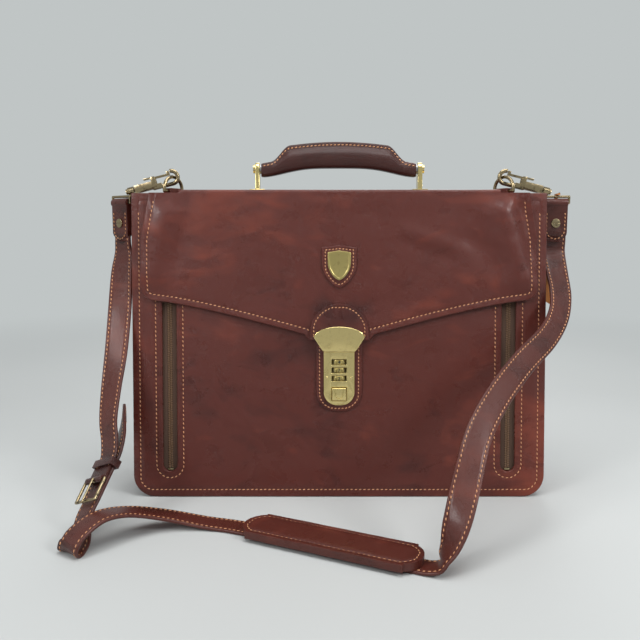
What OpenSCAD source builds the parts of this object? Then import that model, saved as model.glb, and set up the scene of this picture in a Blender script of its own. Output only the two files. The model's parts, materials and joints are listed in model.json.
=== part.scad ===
// Flap-over leather briefcase with a combination lock, two zipped front pockets,
// a padded handle and a clip-on shoulder strap. Millimetres, +Z up, front towards -Y.
// The origin is the middle of the base, on the surface that the case stands on.

/* [Case] */
// Width of the case body
body_w = 380; // [320:1:440]
// Height from the base to the top of the flap
body_h = 282; // [255:1:320]
// Depth of the case at its base
body_d = 80; // [70:1:110]
// How far the front panel leans back over its full height
front_lean = 24; // [12:1:28]
// How far the back panel leans forward over its full height
back_lean = 12; // [4:1:16]
// Radius of the lower corners of the front and back panels
corner_r = 20; // [14:1:30]
// Thickness of the lined front and back panels
panel_t = 3; // [2.4:0.1:3.6]
// Thickness of the gussets
gusset_t = 2.5; // [1.8:0.1:3.2]
// Thickness of the base board
base_t = 4; // [3:0.5:6]

/* [Flap] */
// Thickness of the flap leather
flap_t = 2.5; // [1.8:0.1:3]
// Air between the front panel and the closed flap
flap_gap = 2.2; // [2.1:0.1:2.6]
// Width of the flap at its lower corners
flap_w = 361; // [300:1:376]
// Width of the flap along its front top fold
flap_fold_w = 344; // [290:1:360]
// Width of the top strip between the two D-rings
flap_top_w = 292; // [260:1:296]
// Height of the flap's lower corners above the base
flap_side_z = 182; // [170:1:195]
// Height of the flap's lower edge beside the lock
flap_mid_z = 151; // [149:1:156]
// Radius of the flap's lower corners
flap_corner_r = 12; // [6:1:20]

/* [Lock] */
// Height of the lock plate's lower end above the base
lock_z = 86; // [80:1:88]
// Width of the lock plate
lock_w = 28.3; // [26:0.1:32]
// Thickness of the lock plate
lock_t = 2.5; // [2:0.1:2.6]
// Radius of each number dial
dial_r = 9; // [8.8:0.1:9.2]
// Thickness of each number dial
dial_t = 4.4; // [4:0.1:4.6]
// Distance between the dials along their axle
dial_pitch = 7.5; // [7:0.1:7.8]
// Radius of the dial axle
axle_r = 1.5; // [1:0.1:2]
// Travel of the release button
button_travel = 1.6; // [1:0.1:2]
// Width of the hasp at its widest
hasp_w = 46.5; // [44:0.5:50]
// Thickness of the hasp plate
hasp_t = 2.2; // [1.8:0.1:3]

/* [Zipped pockets] */
// Distance of each zip from the middle of the case
zip_x = 156; // [146:1:160]
// Width of the slot that each zip runs in
zip_slot_w = 13; // [12:0.5:15]
// Height of the lower end of each zip slot
zip_low_z = 24; // [22:1:40]
// Length of each zip slot
zip_len = 222; // [200:1:226]
// Width of each zip tape
tape_w = 25; // [22:1:28]
// Width of the zip coil
coil_w = 4.6; // [4:0.2:5]

/* [Handle] */
// Distance between the two handle brackets
handle_span = 148; // [120:2:180]
// Height of the handle pins above the top of the flap
pin_up = 20.5; // [18:0.5:24]
// Radius of the handle pins
pin_r = 2; // [1.5:0.1:2.5]
// Height of the grip in its middle
grip_h = 24.5; // [18:0.5:28]
// Depth of the grip
grip_d = 15; // [12:0.5:18]

/* [Shoulder strap] */
// Width of the shoulder strap
strap_w = 22; // [20:0.5:23]
// Thickness of the shoulder strap
strap_t = 2.8; // [2.2:0.1:3]
// Length of the shoulder pad
pad_len = 150; // [120:5:160]
// Width of the shoulder pad
pad_w = 38; // [32:1:42]
// Thickness of the shoulder pad
pad_t = 6; // [4:0.5:8]

/* [Hidden] */
$fn = 48;

leather = [0.37, 0.17, 0.13];
lining = [0.30, 0.22, 0.17];
brass = [0.78, 0.70, 0.42];
antique = [0.45, 0.40, 0.28];
tape_brown = [0.26, 0.17, 0.12];
suede = [0.70, 0.45, 0.22];

// Clearances: between still neighbours, in a running fit, and the smallest nudge past a face.
seat_gap = 0.3;
run_gap = 0.05;
past = 1;

front_a = atan(front_lean / body_h);
back_a = atan(back_lean / body_h);
panel_top = body_h - flap_t - seat_gap;
panel_foot = panel_t * tan(front_a);
back_foot = panel_t * tan(back_a);
front_len = panel_top / cos(front_a) - panel_foot;
back_len = panel_top / cos(back_a) - back_foot;
back_y = body_d / 2 - back_lean;
fold_y = -body_d / 2 + front_lean - (flap_gap + flap_t) / cos(front_a);
handle_y = (fold_y + back_y) / 2 + 2;
mid_y = (front_lean - back_lean) / 4;

// A child drawn on the front panel: x across, z up the leaning face, y = 0 on its outer face.
module on_front() {
    translate([0, -body_d / 2, 0]) rotate([-front_a, 0, 0]) children();
}

// A child drawn on the back panel in the same way, with y = 0 on its outer face.
module on_back() {
    translate([0, body_d / 2, 0]) rotate([back_a, 0, 0]) children();
}

// An outline in x and z made into a plate whose front face is at y = face.
module plate(face, thick) {
    translate([0, face + thick, 0]) rotate([90, 0, 0]) linear_extrude(thick) children();
}

// A panel outline, round at its lower corners.
module panel_outline(w, h, r) {
    translate([-w / 2, r]) square([w, h - r]);
    translate([-w / 2 + r, 0]) square([w - 2 * r, r + past]);
    for (side = [-1, 1]) translate([side * (w / 2 - r), r]) circle(r);
}

// A slot outline with round ends, from z = low to low + len.
module slot_outline(w, low, len) {
    translate([-w / 2, low + w / 2]) square([w, len - w]);
    for (z = [low + w / 2, low + len - w / 2]) translate([0, z]) circle(w / 2);
}

// ---- Case body ----

module front_panel() {
    color(leather) on_front() difference() {
        plate(0, panel_t) translate([0, panel_foot]) panel_outline(body_w, front_len, corner_r);
        for (side = [-1, 1])
            translate([side * zip_x, -past, 0])
                plate(0, panel_t + 2 * past) slot_outline(zip_slot_w, zip_low_z, zip_len);
        lock_cut(panel_t + past);
    }
}

module back_panel() {
    color(leather) on_back()
        plate(-panel_t, panel_t) translate([0, back_foot]) panel_outline(body_w, back_len, corner_r);
}

// The wedge of space between the inner faces of the front and back panels.
module between_panels(low, high) {
    front_low = -body_d / 2 + panel_t / cos(front_a) + low * tan(front_a);
    front_high = -body_d / 2 + panel_t / cos(front_a) + high * tan(front_a);
    back_low = body_d / 2 - panel_t / cos(back_a) - low * tan(back_a);
    back_high = body_d / 2 - panel_t / cos(back_a) - high * tan(back_a);
    rotate([90, 0, 90]) translate([0, 0, -body_w])
        linear_extrude(2 * body_w)
            polygon([[front_low, low], [back_low, low], [back_high, high], [front_high, high]]);
}

// The band of side and base leather that joins the two panels.
module wall_band(thick) {
    intersection() {
        plate(-body_d, 2 * body_d) difference() {
            panel_outline(body_w, panel_top, corner_r);
            translate([0, thick])
                panel_outline(body_w - 2 * gusset_t, panel_top + past, corner_r - gusset_t);
        }
        between_panels(0, panel_top);
    }
}

module base_panel() {
    flat_w = body_w - 2 * corner_r;
    color(leather) intersection() {
        between_panels(0, base_t);
        translate([-flat_w / 2, -body_d, -past]) cube([flat_w, 2 * body_d, base_t + 2 * past]);
    }
}

wing_in = flap_top_w / 2 + 2;
wing_front = fold_y + 14;
wing_back = back_y - 10;
wing_z = panel_top - gusset_t;

// One gusset: its wall, its lower corner and the wing that folds in at the top to carry the D-ring.
module gusset() {
    color(leather) {
        intersection() {
            wall_band(gusset_t);
            translate([body_w / 2 - corner_r, -body_d, -past])
                cube([corner_r + past, 2 * body_d, panel_top + 2 * past]);
        }
        translate([wing_in, wing_front, wing_z])
            cube([body_w / 2 - gusset_t / 2 - wing_in, wing_back - wing_front, gusset_t]);
    }
}

module gusset_right() gusset();

module gusset_left() mirror([1, 0, 0]) gusset();

// The divider: its lower corners clear the corner leather of the gussets.
divider_t = 1.6;
divider_top = body_h - 24;

module divider() {
    color(lining) plate(mid_y - divider_t / 2, divider_t)
        translate([0, base_t])
            panel_outline(body_w - 2 * gusset_t, divider_top - base_t, corner_r - gusset_t);
}

// The slip pocket sewn to the divider's front, open at its top.
slip_w = 220;
slip_low = 34;
slip_high = 160;
slip_room = 5.6;

module slip_pocket() {
    wall = 1.4;
    depth = slip_room + wall;
    color(lining) translate([-slip_w / 2, mid_y - divider_t / 2 - depth, slip_low]) difference() {
        cube([slip_w, depth, slip_high - slip_low]);
        translate([wall, wall, wall]) cube([slip_w - 2 * wall, depth, slip_high - slip_low]);
    }
}

// ---- Zipped front pockets ----

tape_t = 0.8;
coil_t = 1.2;
coil_face = panel_t - coil_t;
slider_z = zip_low_z + zip_len - 14;

// Draws its child on the front panel at one zip: -1 on the left, 1 on the right.
module at_zip(side) {
    on_front() translate([side * zip_x, 0, 0]) children();
}

module zip_tape() {
    spare = 6;
    color(tape_brown)
        plate(panel_t, tape_t) slot_outline(tape_w, zip_low_z - spare, zip_len + 2 * spare);
}

module zip_coil() {
    end_gap = 3;
    color(tape_brown) plate(coil_face, coil_t)
        translate([-coil_w / 2, zip_low_z + end_gap]) square([coil_w, zip_len - 2 * end_gap]);
}

// The slider's crown stands over the coil, its rails run beside it, and its bail holds the pull.
crown_t = 1;
crown_face = coil_face - seat_gap - crown_t;
rail_t = 1.2;
slider_len = 11;
bail_r = 0.9;
bail_y = crown_face - 0.7;

module zip_slider() {
    rail_in = coil_w / 2 + seat_gap;
    color(antique) translate([0, 0, slider_z]) difference() {
        union() {
            translate([-rail_in - rail_t, crown_face, -slider_len / 2])
                cube([2 * (rail_in + rail_t), crown_t, slider_len]);
            for (side = [-1, 1])
                translate([side * (rail_in + rail_t / 2) - rail_t / 2, crown_face, -slider_len / 2])
                    cube([rail_t, panel_t - seat_gap - crown_face, slider_len]);
            translate([-0.8, bail_y - 1.1, -3.5]) cube([1.6, crown_face - bail_y + 1.1, 7]);
        }
        translate([-past, bail_y, 0]) rotate([0, 90, 0]) cylinder(h = 2 * past, r = bail_r);
    }
}

module zip_pull() {
    pull_w = 6;
    pull_t = 1;
    arm_w = 1.6;
    yoke = 4.4;
    tail = 24;
    color(antique) translate([0, bail_y, slider_z]) {
        rotate([0, 90, 0]) translate([0, 0, -pull_w / 2]) cylinder(h = pull_w, r = pull_t / 2);
        for (side = [-1, 1])
            translate([side * (pull_w / 2 - arm_w / 2) - arm_w / 2, -pull_t / 2, -yoke])
                cube([arm_w, pull_t, yoke]);
        difference() {
            translate([-pull_w / 2, -pull_t / 2, -tail]) cube([pull_w, pull_t, tail - yoke]);
            translate([0, past, -tail + 3.4]) rotate([90, 0, 0]) cylinder(h = 2 * past, r = 1.4);
        }
    }
}

// The cloth bag behind each zip: a flat closed pouch.
bag_w = 48;
bag_room = 1.2;
cloth_t = 0.6;

module pocket_bag() {
    spare = 10;
    depth = bag_room + 2 * cloth_t;
    color(lining) plate(panel_t + tape_t, depth)
        translate([-bag_w / 2, zip_low_z - spare + 2]) square([bag_w, zip_len + spare]);
}

module zip_tape_left() at_zip(-1) zip_tape();
module zip_tape_right() at_zip(1) zip_tape();
module zip_coil_left() at_zip(-1) zip_coil();
module zip_coil_right() at_zip(1) zip_coil();
module zip_slider_left() at_zip(-1) zip_slider();
module zip_slider_right() at_zip(1) zip_slider();
module zip_pull_left() at_zip(-1) zip_pull();
module zip_pull_right() at_zip(1) zip_pull();
module pocket_bag_left() at_zip(-1) pocket_bag();
module pocket_bag_right() at_zip(1) pocket_bag();

// ---- Lock, all drawn on the front panel ----

patch_t = 2;
patch_w = 42;
patch_low = lock_z - 6;
plate_high = lock_z + 59.5;
case_w = 21;
case_wall = 1.2;
case_low = lock_z + 3;
case_high = plate_high;
case_face = -patch_t;
case_depth = 17;
dial_y = -patch_t - lock_t - 0.2 + dial_r;
dial_mid = lock_z + 32.3;
dial_room_low = dial_mid - dial_pitch - dial_t / 2 - 2.4;
dial_room_high = dial_mid + dial_pitch + dial_t / 2 + 2.4;
tongue_z = lock_z + 53;
tongue_h = 2.6;
tongue_w = 14;
tongue_in = 4.3;
lift_room = 2.3;
window_w = 13.6;
button_z = lock_z + 10.5;
button_w = 13;
button_h = 11.5;
bolt_h = 2.8;
bolt_drop = 0.4;
lock_face = -patch_t - lock_t;

// The opening that the lock case passes through, to a depth behind the front panel's face.
module lock_cut(depth) {
    translate([-case_w / 2 - seat_gap, -patch_t - past, case_low - seat_gap])
        cube([case_w + 2 * seat_gap, patch_t + depth + past, case_high - case_low + 2 * seat_gap]);
}

// An outline with a round lower end and a square top.
module tongue_outline(w, low, high, r) {
    translate([-w / 2, low + r]) square([w, high - low - r]);
    translate([-w / 2 + r, low]) square([w - 2 * r, r + past]);
    for (side = [-1, 1]) translate([side * (w / 2 - r), low + r]) circle(r);
}

module lock_patch() {
    color(leather) on_front() difference() {
        plate(-patch_t, patch_t) tongue_outline(patch_w, patch_low, plate_high + 6, patch_w / 2 - 2);
        lock_cut(past);
    }
}

module lock_plate() {
    color(brass) on_front() difference() {
        plate(lock_face, lock_t) tongue_outline(lock_w, lock_z, plate_high, lock_w / 2 - 2);
        for (k = [-1:1])
            translate([-window_w / 2, lock_face - past, dial_mid + k * dial_pitch - dial_t / 2 - seat_gap])
                cube([window_w, lock_t + 2 * past, dial_t + 2 * seat_gap]);
        translate([-button_w / 2 - seat_gap, lock_face - past, button_z - button_h / 2 - seat_gap])
            cube([button_w + 2 * seat_gap, lock_t + 2 * past, button_h + 2 * seat_gap]);
        translate([-tongue_w / 2 - seat_gap, lock_face - past, tongue_z - seat_gap])
            cube([tongue_w + 2 * seat_gap, lock_t + 2 * past, tongue_h + lift_room]);
    }
}

// The case behind the plate, with a room each for the button, the dials and the latch bolt.
module lock_case() {
    room_w = case_w - 2 * case_wall;
    button_high = dial_room_low - case_wall;
    color(brass) on_front() difference() {
        translate([-case_w / 2, case_face, case_low]) cube([case_w, case_depth, case_high - case_low]);
        translate([-room_w / 2, case_face - past, case_low + case_wall])
            cube([room_w, case_depth - case_wall + past, button_high - case_low - case_wall]);
        translate([-room_w / 2, case_face - past, dial_room_low])
            cube([room_w, case_depth - case_wall + past, dial_room_high - dial_room_low]);
        translate([-room_w / 2, case_face - past, dial_room_high + case_wall])
            cube([room_w, 6, case_high - dial_room_high - 2 * case_wall]);
        translate([0, dial_y, button_high - past])
            cylinder(h = dial_room_high - button_high + case_wall + 2 * past, r = axle_r);
    }
}

// A leather-covered plate inside the front panel, around the lock case.
module lock_backing() {
    color(lining) on_front() difference() {
        plate(panel_t, 1.4)
            translate([-patch_w / 2, patch_low]) square([patch_w, case_high + 10 - patch_low]);
        lock_cut(panel_t + 3);
    }
}

// One number dial, k steps of the pitch above the middle one.
module dial(k) {
    color(brass) on_front() translate([0, dial_y, dial_mid + k * dial_pitch - dial_t / 2]) difference() {
        cylinder(h = dial_t, r = dial_r, $fn = 96);
        translate([0, 0, -past]) cylinder(h = dial_t + 2 * past, r = axle_r + run_gap);
    }
}

module dial_upper() dial(1);
module dial_middle() dial(0);
module dial_lower() dial(-1);

module dial_axle() {
    low = dial_room_low - case_wall;
    color(antique) on_front() translate([0, dial_y, low])
        cylinder(h = dial_room_high + case_wall - low, r = axle_r);
}

// The button stands in front of the plate and travels back into the case.
module release_button() {
    proud = 1.3 + button_travel;
    stem = 6;
    color(brass) on_front()
        translate([-button_w / 2, lock_face - proud, button_z - button_h / 2])
            cube([button_w, proud + lock_t + stem, button_h]);
}

// The bolt under the hasp's tongue. It drops as the button goes in.
module latch_bolt() {
    bolt_w = case_w - 2 * case_wall - 2 * seat_gap;
    color(antique) on_front()
        translate([-bolt_w / 2, case_face + 0.4, tongue_z - bolt_drop - bolt_h]) cube([bolt_w, 4, bolt_h]);
}

// ---- Flap ----

module flap_top() {
    color(leather) translate([-flap_top_w / 2, fold_y, body_h - flap_t])
        cube([flap_top_w, back_y - fold_y, flap_t]);
}

// The lower edge falls slowly from each corner and faster towards the lock.
function edge_z(t) = flap_side_z + (flap_mid_z - flap_side_z) * pow(t, 1.25);

tab_half = 28;
tab_z = plate_high + 0.5;

module flap_outline(top) {
    corner_x = flap_w / 2 - flap_corner_r;
    edge = [for (k = [0:10]) [corner_x + (tab_half + 4 - corner_x) * k / 10, edge_z(k / 10)]];
    arc = [for (k = [0:6]) [
        corner_x + flap_corner_r * cos(15 * k),
        flap_side_z + flap_corner_r - flap_corner_r * sin(15 * k)
    ]];
    half = concat([[flap_fold_w / 2, top], [flap_w / 2, top - 46]], arc, edge, [[tab_half, tab_z]]);
    mirrored = [for (k = [len(half) - 1:-1:0]) [-half[k][0], half[k][1]]];
    polygon(concat(half, mirrored));
}

module flap_front() {
    top = body_h / cos(front_a) + past;
    color(leather) intersection() {
        on_front() plate(-flap_gap - flap_t, flap_t) flap_outline(top);
        translate([-body_w, -body_d, 0]) cube([2 * body_w, 2 * body_d, panel_top]);
    }
}

flap_face = -flap_gap - flap_t;
hasp_patch_t = 2;
hasp_patch_r = 26.7;
hasp_patch_z = lock_z + 66.5;
hasp_low = lock_z + 49.5;
hasp_mid = hasp_low + 13;
hasp_high = hasp_low + 23;

module hasp_patch() {
    color(leather) on_front() plate(flap_face - hasp_patch_t, hasp_patch_t) {
        intersection() {
            translate([0, hasp_patch_z]) circle(hasp_patch_r);
            translate([-hasp_patch_r, tab_z]) square(2 * hasp_patch_r);
        }
    }
}

// The hasp's outline: a low arch over two sides that narrow towards the lock plate.
module hasp_outline() {
    arch = [for (k = [0:12]) [hasp_w / 2 * cos(15 * k), hasp_mid + (hasp_high - hasp_mid) * sin(15 * k)]];
    polygon(concat(arch, [[-lock_w / 2 - 2, hasp_low + 2], [-lock_w / 2, hasp_low],
        [lock_w / 2, hasp_low], [lock_w / 2 + 2, hasp_low + 2]]));
}

module hasp() {
    face = flap_face - hasp_patch_t - hasp_t;
    lip_back = lock_face - seat_gap;
    color(brass) on_front() {
        plate(face, hasp_t) hasp_outline();
        translate([-lock_w / 2, face + hasp_t, hasp_low])
            cube([lock_w, lip_back - face - hasp_t, tab_z - 0.4 - hasp_low]);
        translate([-tongue_w / 2, lip_back, tongue_z]) cube([tongue_w, tongue_in, tongue_h]);
    }
}

// A shield with a straight top, straight shoulders and two arcs that meet in a point.
module shield(w, h) {
    shoulder = h * 0.42;
    side = [for (k = [0:8]) [w / 2 * cos(90 * k / 8), -(h - shoulder) * sin(90 * k / 8) * (0.7 + 0.3 * k / 8)]];
    left = [for (k = [7:-1:0]) [-side[k][0], side[k][1]]];
    polygon(concat([[-w / 2, shoulder * 0.86], [0, shoulder], [w / 2, shoulder * 0.86]], side, left));
}

emblem_z = 216;
emblem_patch_t = 1.6;

module emblem_patch() {
    color(leather) on_front()
        plate(flap_face - emblem_patch_t, emblem_patch_t) translate([0, emblem_z]) shield(32, 39);
}

module emblem_shield() {
    metal_t = 1.6;
    color(brass) on_front()
        plate(flap_face - emblem_patch_t - metal_t, metal_t) translate([0, emblem_z]) shield(21, 27);
}

// ---- Handle ----

pin_z = body_h + pin_up;
bracket_t = 4;
bracket_r = 6;
bar_t = 3;
bar_h = 7;

// Draws its child at one handle pin, with x pointing away from the middle of the case.
module at_pin(side) {
    translate([side * handle_span / 2, handle_y, pin_z]) mirror([side < 0 ? 1 : 0, 0, 0]) children();
}

module handle_bracket() {
    foot_t = 1.6;
    color(brass) difference() {
        union() {
            rotate([0, 90, 0]) cylinder(h = bracket_t, r = bracket_r);
            translate([0, -bracket_r, -pin_up]) cube([bracket_t, 2 * bracket_r, pin_up]);
            translate([-5, -9, -pin_up]) cube([bracket_t + 10, 18, foot_t]);
        }
        translate([-past, 0, 0]) rotate([0, 90, 0]) cylinder(h = bracket_t + 2 * past, r = pin_r);
    }
}

module handle_pin() {
    head_t = 2;
    pin_in = 0.2 - seat_gap - bar_t;
    color(brass) rotate([0, 90, 0]) {
        translate([0, 0, pin_in]) cylinder(h = bracket_t - pin_in, r = pin_r);
        translate([0, 0, bracket_t]) cylinder(h = head_t, r = 2 * pin_r);
    }
}

module handle_bracket_left() at_pin(-1) handle_bracket();
module handle_bracket_right() at_pin(1) handle_bracket();
module handle_pin_left() at_pin(-1) handle_pin();
module handle_pin_right() at_pin(1) handle_pin();

bar_out = handle_span / 2 - seat_gap;
grip_out = bar_out - bar_t - 0.6;
grip_end_h = 9.5;
grip_rise = 25;

// Heights of the grip's top and underside above the pins, at x.
function grip_top(x) = -6 + grip_end_h + (grip_rise + 6 - grip_end_h) * pow(max(0, cos(90 * x / grip_out)), 0.6);
function grip_under(x) = -6 + (grip_rise - grip_h + 6) * cos(90 * x / grip_out);

grip_steps = 16;
function grip_x(k) = grip_out * k / grip_steps;
function grip_edge(k, lift) = [grip_x(k), (grip_top(grip_x(k)) + grip_under(grip_x(k))) / 2 + 1 + lift];

// The side view of the strip inside the grip, grown by a gap and lengthened past its ends.
module strip_outline(gap, more) {
    top = [for (k = [-grip_steps:grip_steps]) grip_edge(k, 1 + gap)];
    low = [for (k = [grip_steps:-1:-grip_steps]) grip_edge(k, -1 - gap)];
    ends = [for (side = [1, -1]) for (lift = [side, -side])
        grip_edge(side * grip_steps, lift * (1 + gap)) + [side * more, 0]];
    polygon(more > 0
        ? concat(top, [ends[0], ends[1]], low, [ends[2], ends[3]])
        : concat(top, low));
}

// A flat steel strip inside the grip, with an eye at each end.
module handle_bar() {
    color(antique) translate([0, handle_y, pin_z]) {
        plate(-grip_d / 4, grip_d / 2) strip_outline(0, 0);
        for (side = [-1, 1])
            translate([side * (bar_out - bar_t / 2) - bar_t / 2, 0, 0]) rotate([0, 90, 0]) difference() {
                cylinder(h = bar_t, r = bar_h / 2 + 1);
                translate([0, 0, -past]) cylinder(h = bar_t + 2 * past, r = pin_r + run_gap);
            }
        for (side = [-1, 1])
            translate([side * (grip_out + 0.35) - 0.35, -grip_d / 4, -3]) cube([0.7, grip_d / 2, 3.5]);
    }
}

module handle_grip() {
    strip_gap = 0.05;
    top = [for (k = [-grip_steps:grip_steps]) [grip_x(k), grip_top(grip_x(k))]];
    low = [for (k = [grip_steps:-1:-grip_steps]) [grip_x(k), grip_under(grip_x(k))]];
    color(leather) translate([0, handle_y, pin_z]) difference() {
        plate(-grip_d / 2, grip_d) polygon(concat(top, low));
        plate(-grip_d / 4 - strip_gap, grip_d / 2 + 2 * strip_gap) strip_outline(strip_gap, past);
    }
}

// ---- D-rings and snap hooks ----

ring_r = 11;
ring_wire = 1.6;
ring_turn = 35;
ring_x = flap_top_w / 2 + 9.8;
ring_y = (wing_front + wing_back) / 2;
ring_bar_z = panel_top + 2.6;
ring_side = 2.5;
ring_top_z = ring_bar_z + ring_side + ring_r;
hook_tilt = 14;
hook_mouth = 40;
hook_lift = 3;
hook_bend = 6;
hook_wire = 1.9;
ring_in_mouth = 1.5;
hook_x = ring_x + (hook_mouth + ring_in_mouth) * cos(hook_tilt) - hook_lift * sin(hook_tilt);
hook_z = ring_top_z - (hook_mouth + ring_in_mouth) * sin(hook_tilt) - hook_lift * cos(hook_tilt);
eye_drop = 11.2;
eye_top = 5.4;
eye_out = 9.7;
eye_wire = 1.2;
eye_half = strap_w / 2 + 1.6;
swivel_r = 1.6;

// Mirrors its child to the left side of the case: side is -1 on the left, 1 on the right.
module on_side(side) {
    mirror([side < 0 ? 1 : 0, 0, 0]) children();
}

// Draws its child at the right-hand ring's bar, turned so that the bar lies along y.
module at_ring() {
    translate([ring_x, ring_y, ring_bar_z]) rotate([0, 0, ring_turn]) children();
}

// Draws its child at the right-hand hook: x runs from the swivel to the hook's nose.
module at_hook() {
    translate([hook_x, ring_y, hook_z]) mirror([1, 0, 0]) rotate([0, -hook_tilt, 0]) children();
}

module ring_tab() {
    tab_w = 7;
    tab_l = 13;
    color(leather) at_ring() difference() {
        translate([-tab_w / 2, -tab_l / 2, panel_top - ring_bar_z])
            cube([tab_w, tab_l, ring_bar_z - panel_top + ring_wire + 1.2]);
        translate([0, tab_l, 0]) rotate([90, 0, 0]) cylinder(h = 2 * tab_l, r = ring_wire + run_gap);
    }
}

module d_ring() {
    color(antique) at_ring() {
        translate([0, ring_r, 0]) rotate([90, 0, 0]) cylinder(h = 2 * ring_r, r = ring_wire);
        for (side = [-1, 1]) translate([0, side * ring_r, 0]) {
            sphere(ring_wire);
            cylinder(h = ring_side, r = ring_wire);
        }
        translate([0, 0, ring_side]) rotate([90, 0, 90])
            rotate_extrude(angle = 180) translate([ring_r, 0]) circle(ring_wire);
    }
}

// The gate's pivot, along and above the hook, and its pin.
gate_pivot = [23, 5.6];
gate_pin_r = 1;
gate_half = 2.2;

// The hook: a swivel pin with its head, a square barrel, ears for the gate, and an open bend.
module snap_hook() {
    barrel = [4, 22];
    neck = [21, 30];
    ear_t = 0.9;
    ear_in = gate_half + seat_gap;
    color(antique) at_hook() {
        rotate([0, 90, 0]) translate([0, 0, -3.4]) cylinder(h = barrel[0] + 3.9, r = swivel_r);
        rotate([0, 90, 0]) translate([0, 0, -4.8]) cylinder(h = 1.6, r = 2.6);
        translate([barrel[0], -3.2, -3.6]) cube([barrel[1] - barrel[0], 6.4, 7.2]);
        translate([neck[0], -ear_in, -4.6]) cube([neck[1] - neck[0], 2 * ear_in, 5]);
        for (side = [-1, 1])
            translate([gate_pivot[0] - 2, side * (ear_in + ear_t / 2) - ear_t / 2, -2])
                cube([4, ear_t, gate_pivot[1] + 4]);
        translate([gate_pivot[0], ear_in + ear_t, gate_pivot[1]]) rotate([90, 0, 0])
            cylinder(h = 2 * (ear_in + ear_t), r = gate_pin_r);
        translate([neck[1] - 1, 0, hook_lift - hook_bend]) rotate([0, 90, 0])
            cylinder(h = hook_mouth - neck[1] + 1, r = hook_wire);
        translate([hook_mouth, 0, hook_lift]) rotate([90, 0, 0]) rotate([0, 0, -90])
            rotate_extrude(angle = 180) translate([hook_bend, 0]) circle(hook_wire);
    }
}

// The gate closes the mouth along its top and turns on the pin between the ears.
module hook_gate() {
    nose = hook_mouth - 0.8;
    color(antique) at_hook() difference() {
        union() {
            translate([gate_pivot[0], gate_half, gate_pivot[1]]) rotate([90, 0, 0])
                cylinder(h = 2 * gate_half, r = gate_pin_r + 0.9);
            translate([gate_pivot[0], -1.4, gate_pivot[1] - 0.4]) cube([nose - gate_pivot[0], 2.8, 2]);
            translate([nose - 2.6, -1.4, gate_pivot[1] - 0.4]) cube([2.6, 2.8, 4.2]);
            translate([gate_pivot[0] - 9, -1.6, gate_pivot[1] + 0.6]) cube([9, 3.2, 1.6]);
        }
        translate([gate_pivot[0], gate_half + past, gate_pivot[1]]) rotate([90, 0, 0])
            cylinder(h = 2 * (gate_half + past), r = gate_pin_r + run_gap);
    }
}

// The eye that carries the strap: a boss on the swivel, a neck, and a square loop below it.
module hook_eye(turn) {
    boss_r = 3.6;
    color(antique) difference() {
        union() {
            at_hook() rotate([0, 90, 0]) translate([0, 0, -2.8]) cylinder(h = 5.6, r = boss_r);
            translate([hook_x - 1.6, ring_y - 1.4, hook_z - eye_top]) cube([3.2, 2.8, eye_top - 1]);
            translate([hook_x - 1.6, ring_y, hook_z - eye_top]) rotate([0, 90, 0])
                cylinder(h = eye_out + 1.6, r = eye_wire);
            translate([hook_x + eye_out, ring_y, hook_z]) rotate([0, 0, turn]) {
                for (z = [-eye_drop, -eye_top])
                    translate([-eye_half, 0, z]) rotate([0, 90, 0]) cylinder(h = 2 * eye_half, r = eye_wire);
                for (side = [-1, 1]) translate([side * eye_half, 0, -eye_drop]) {
                    cylinder(h = eye_drop - eye_top, r = eye_wire);
                    sphere(eye_wire);
                    translate([0, 0, eye_drop - eye_top]) sphere(eye_wire);
                }
            }
        }
        at_hook() rotate([0, 90, 0]) translate([0, 0, -8]) cylinder(h = 16, r = swivel_r + run_gap);
    }
}

// ---- Shoulder strap ----

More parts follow.
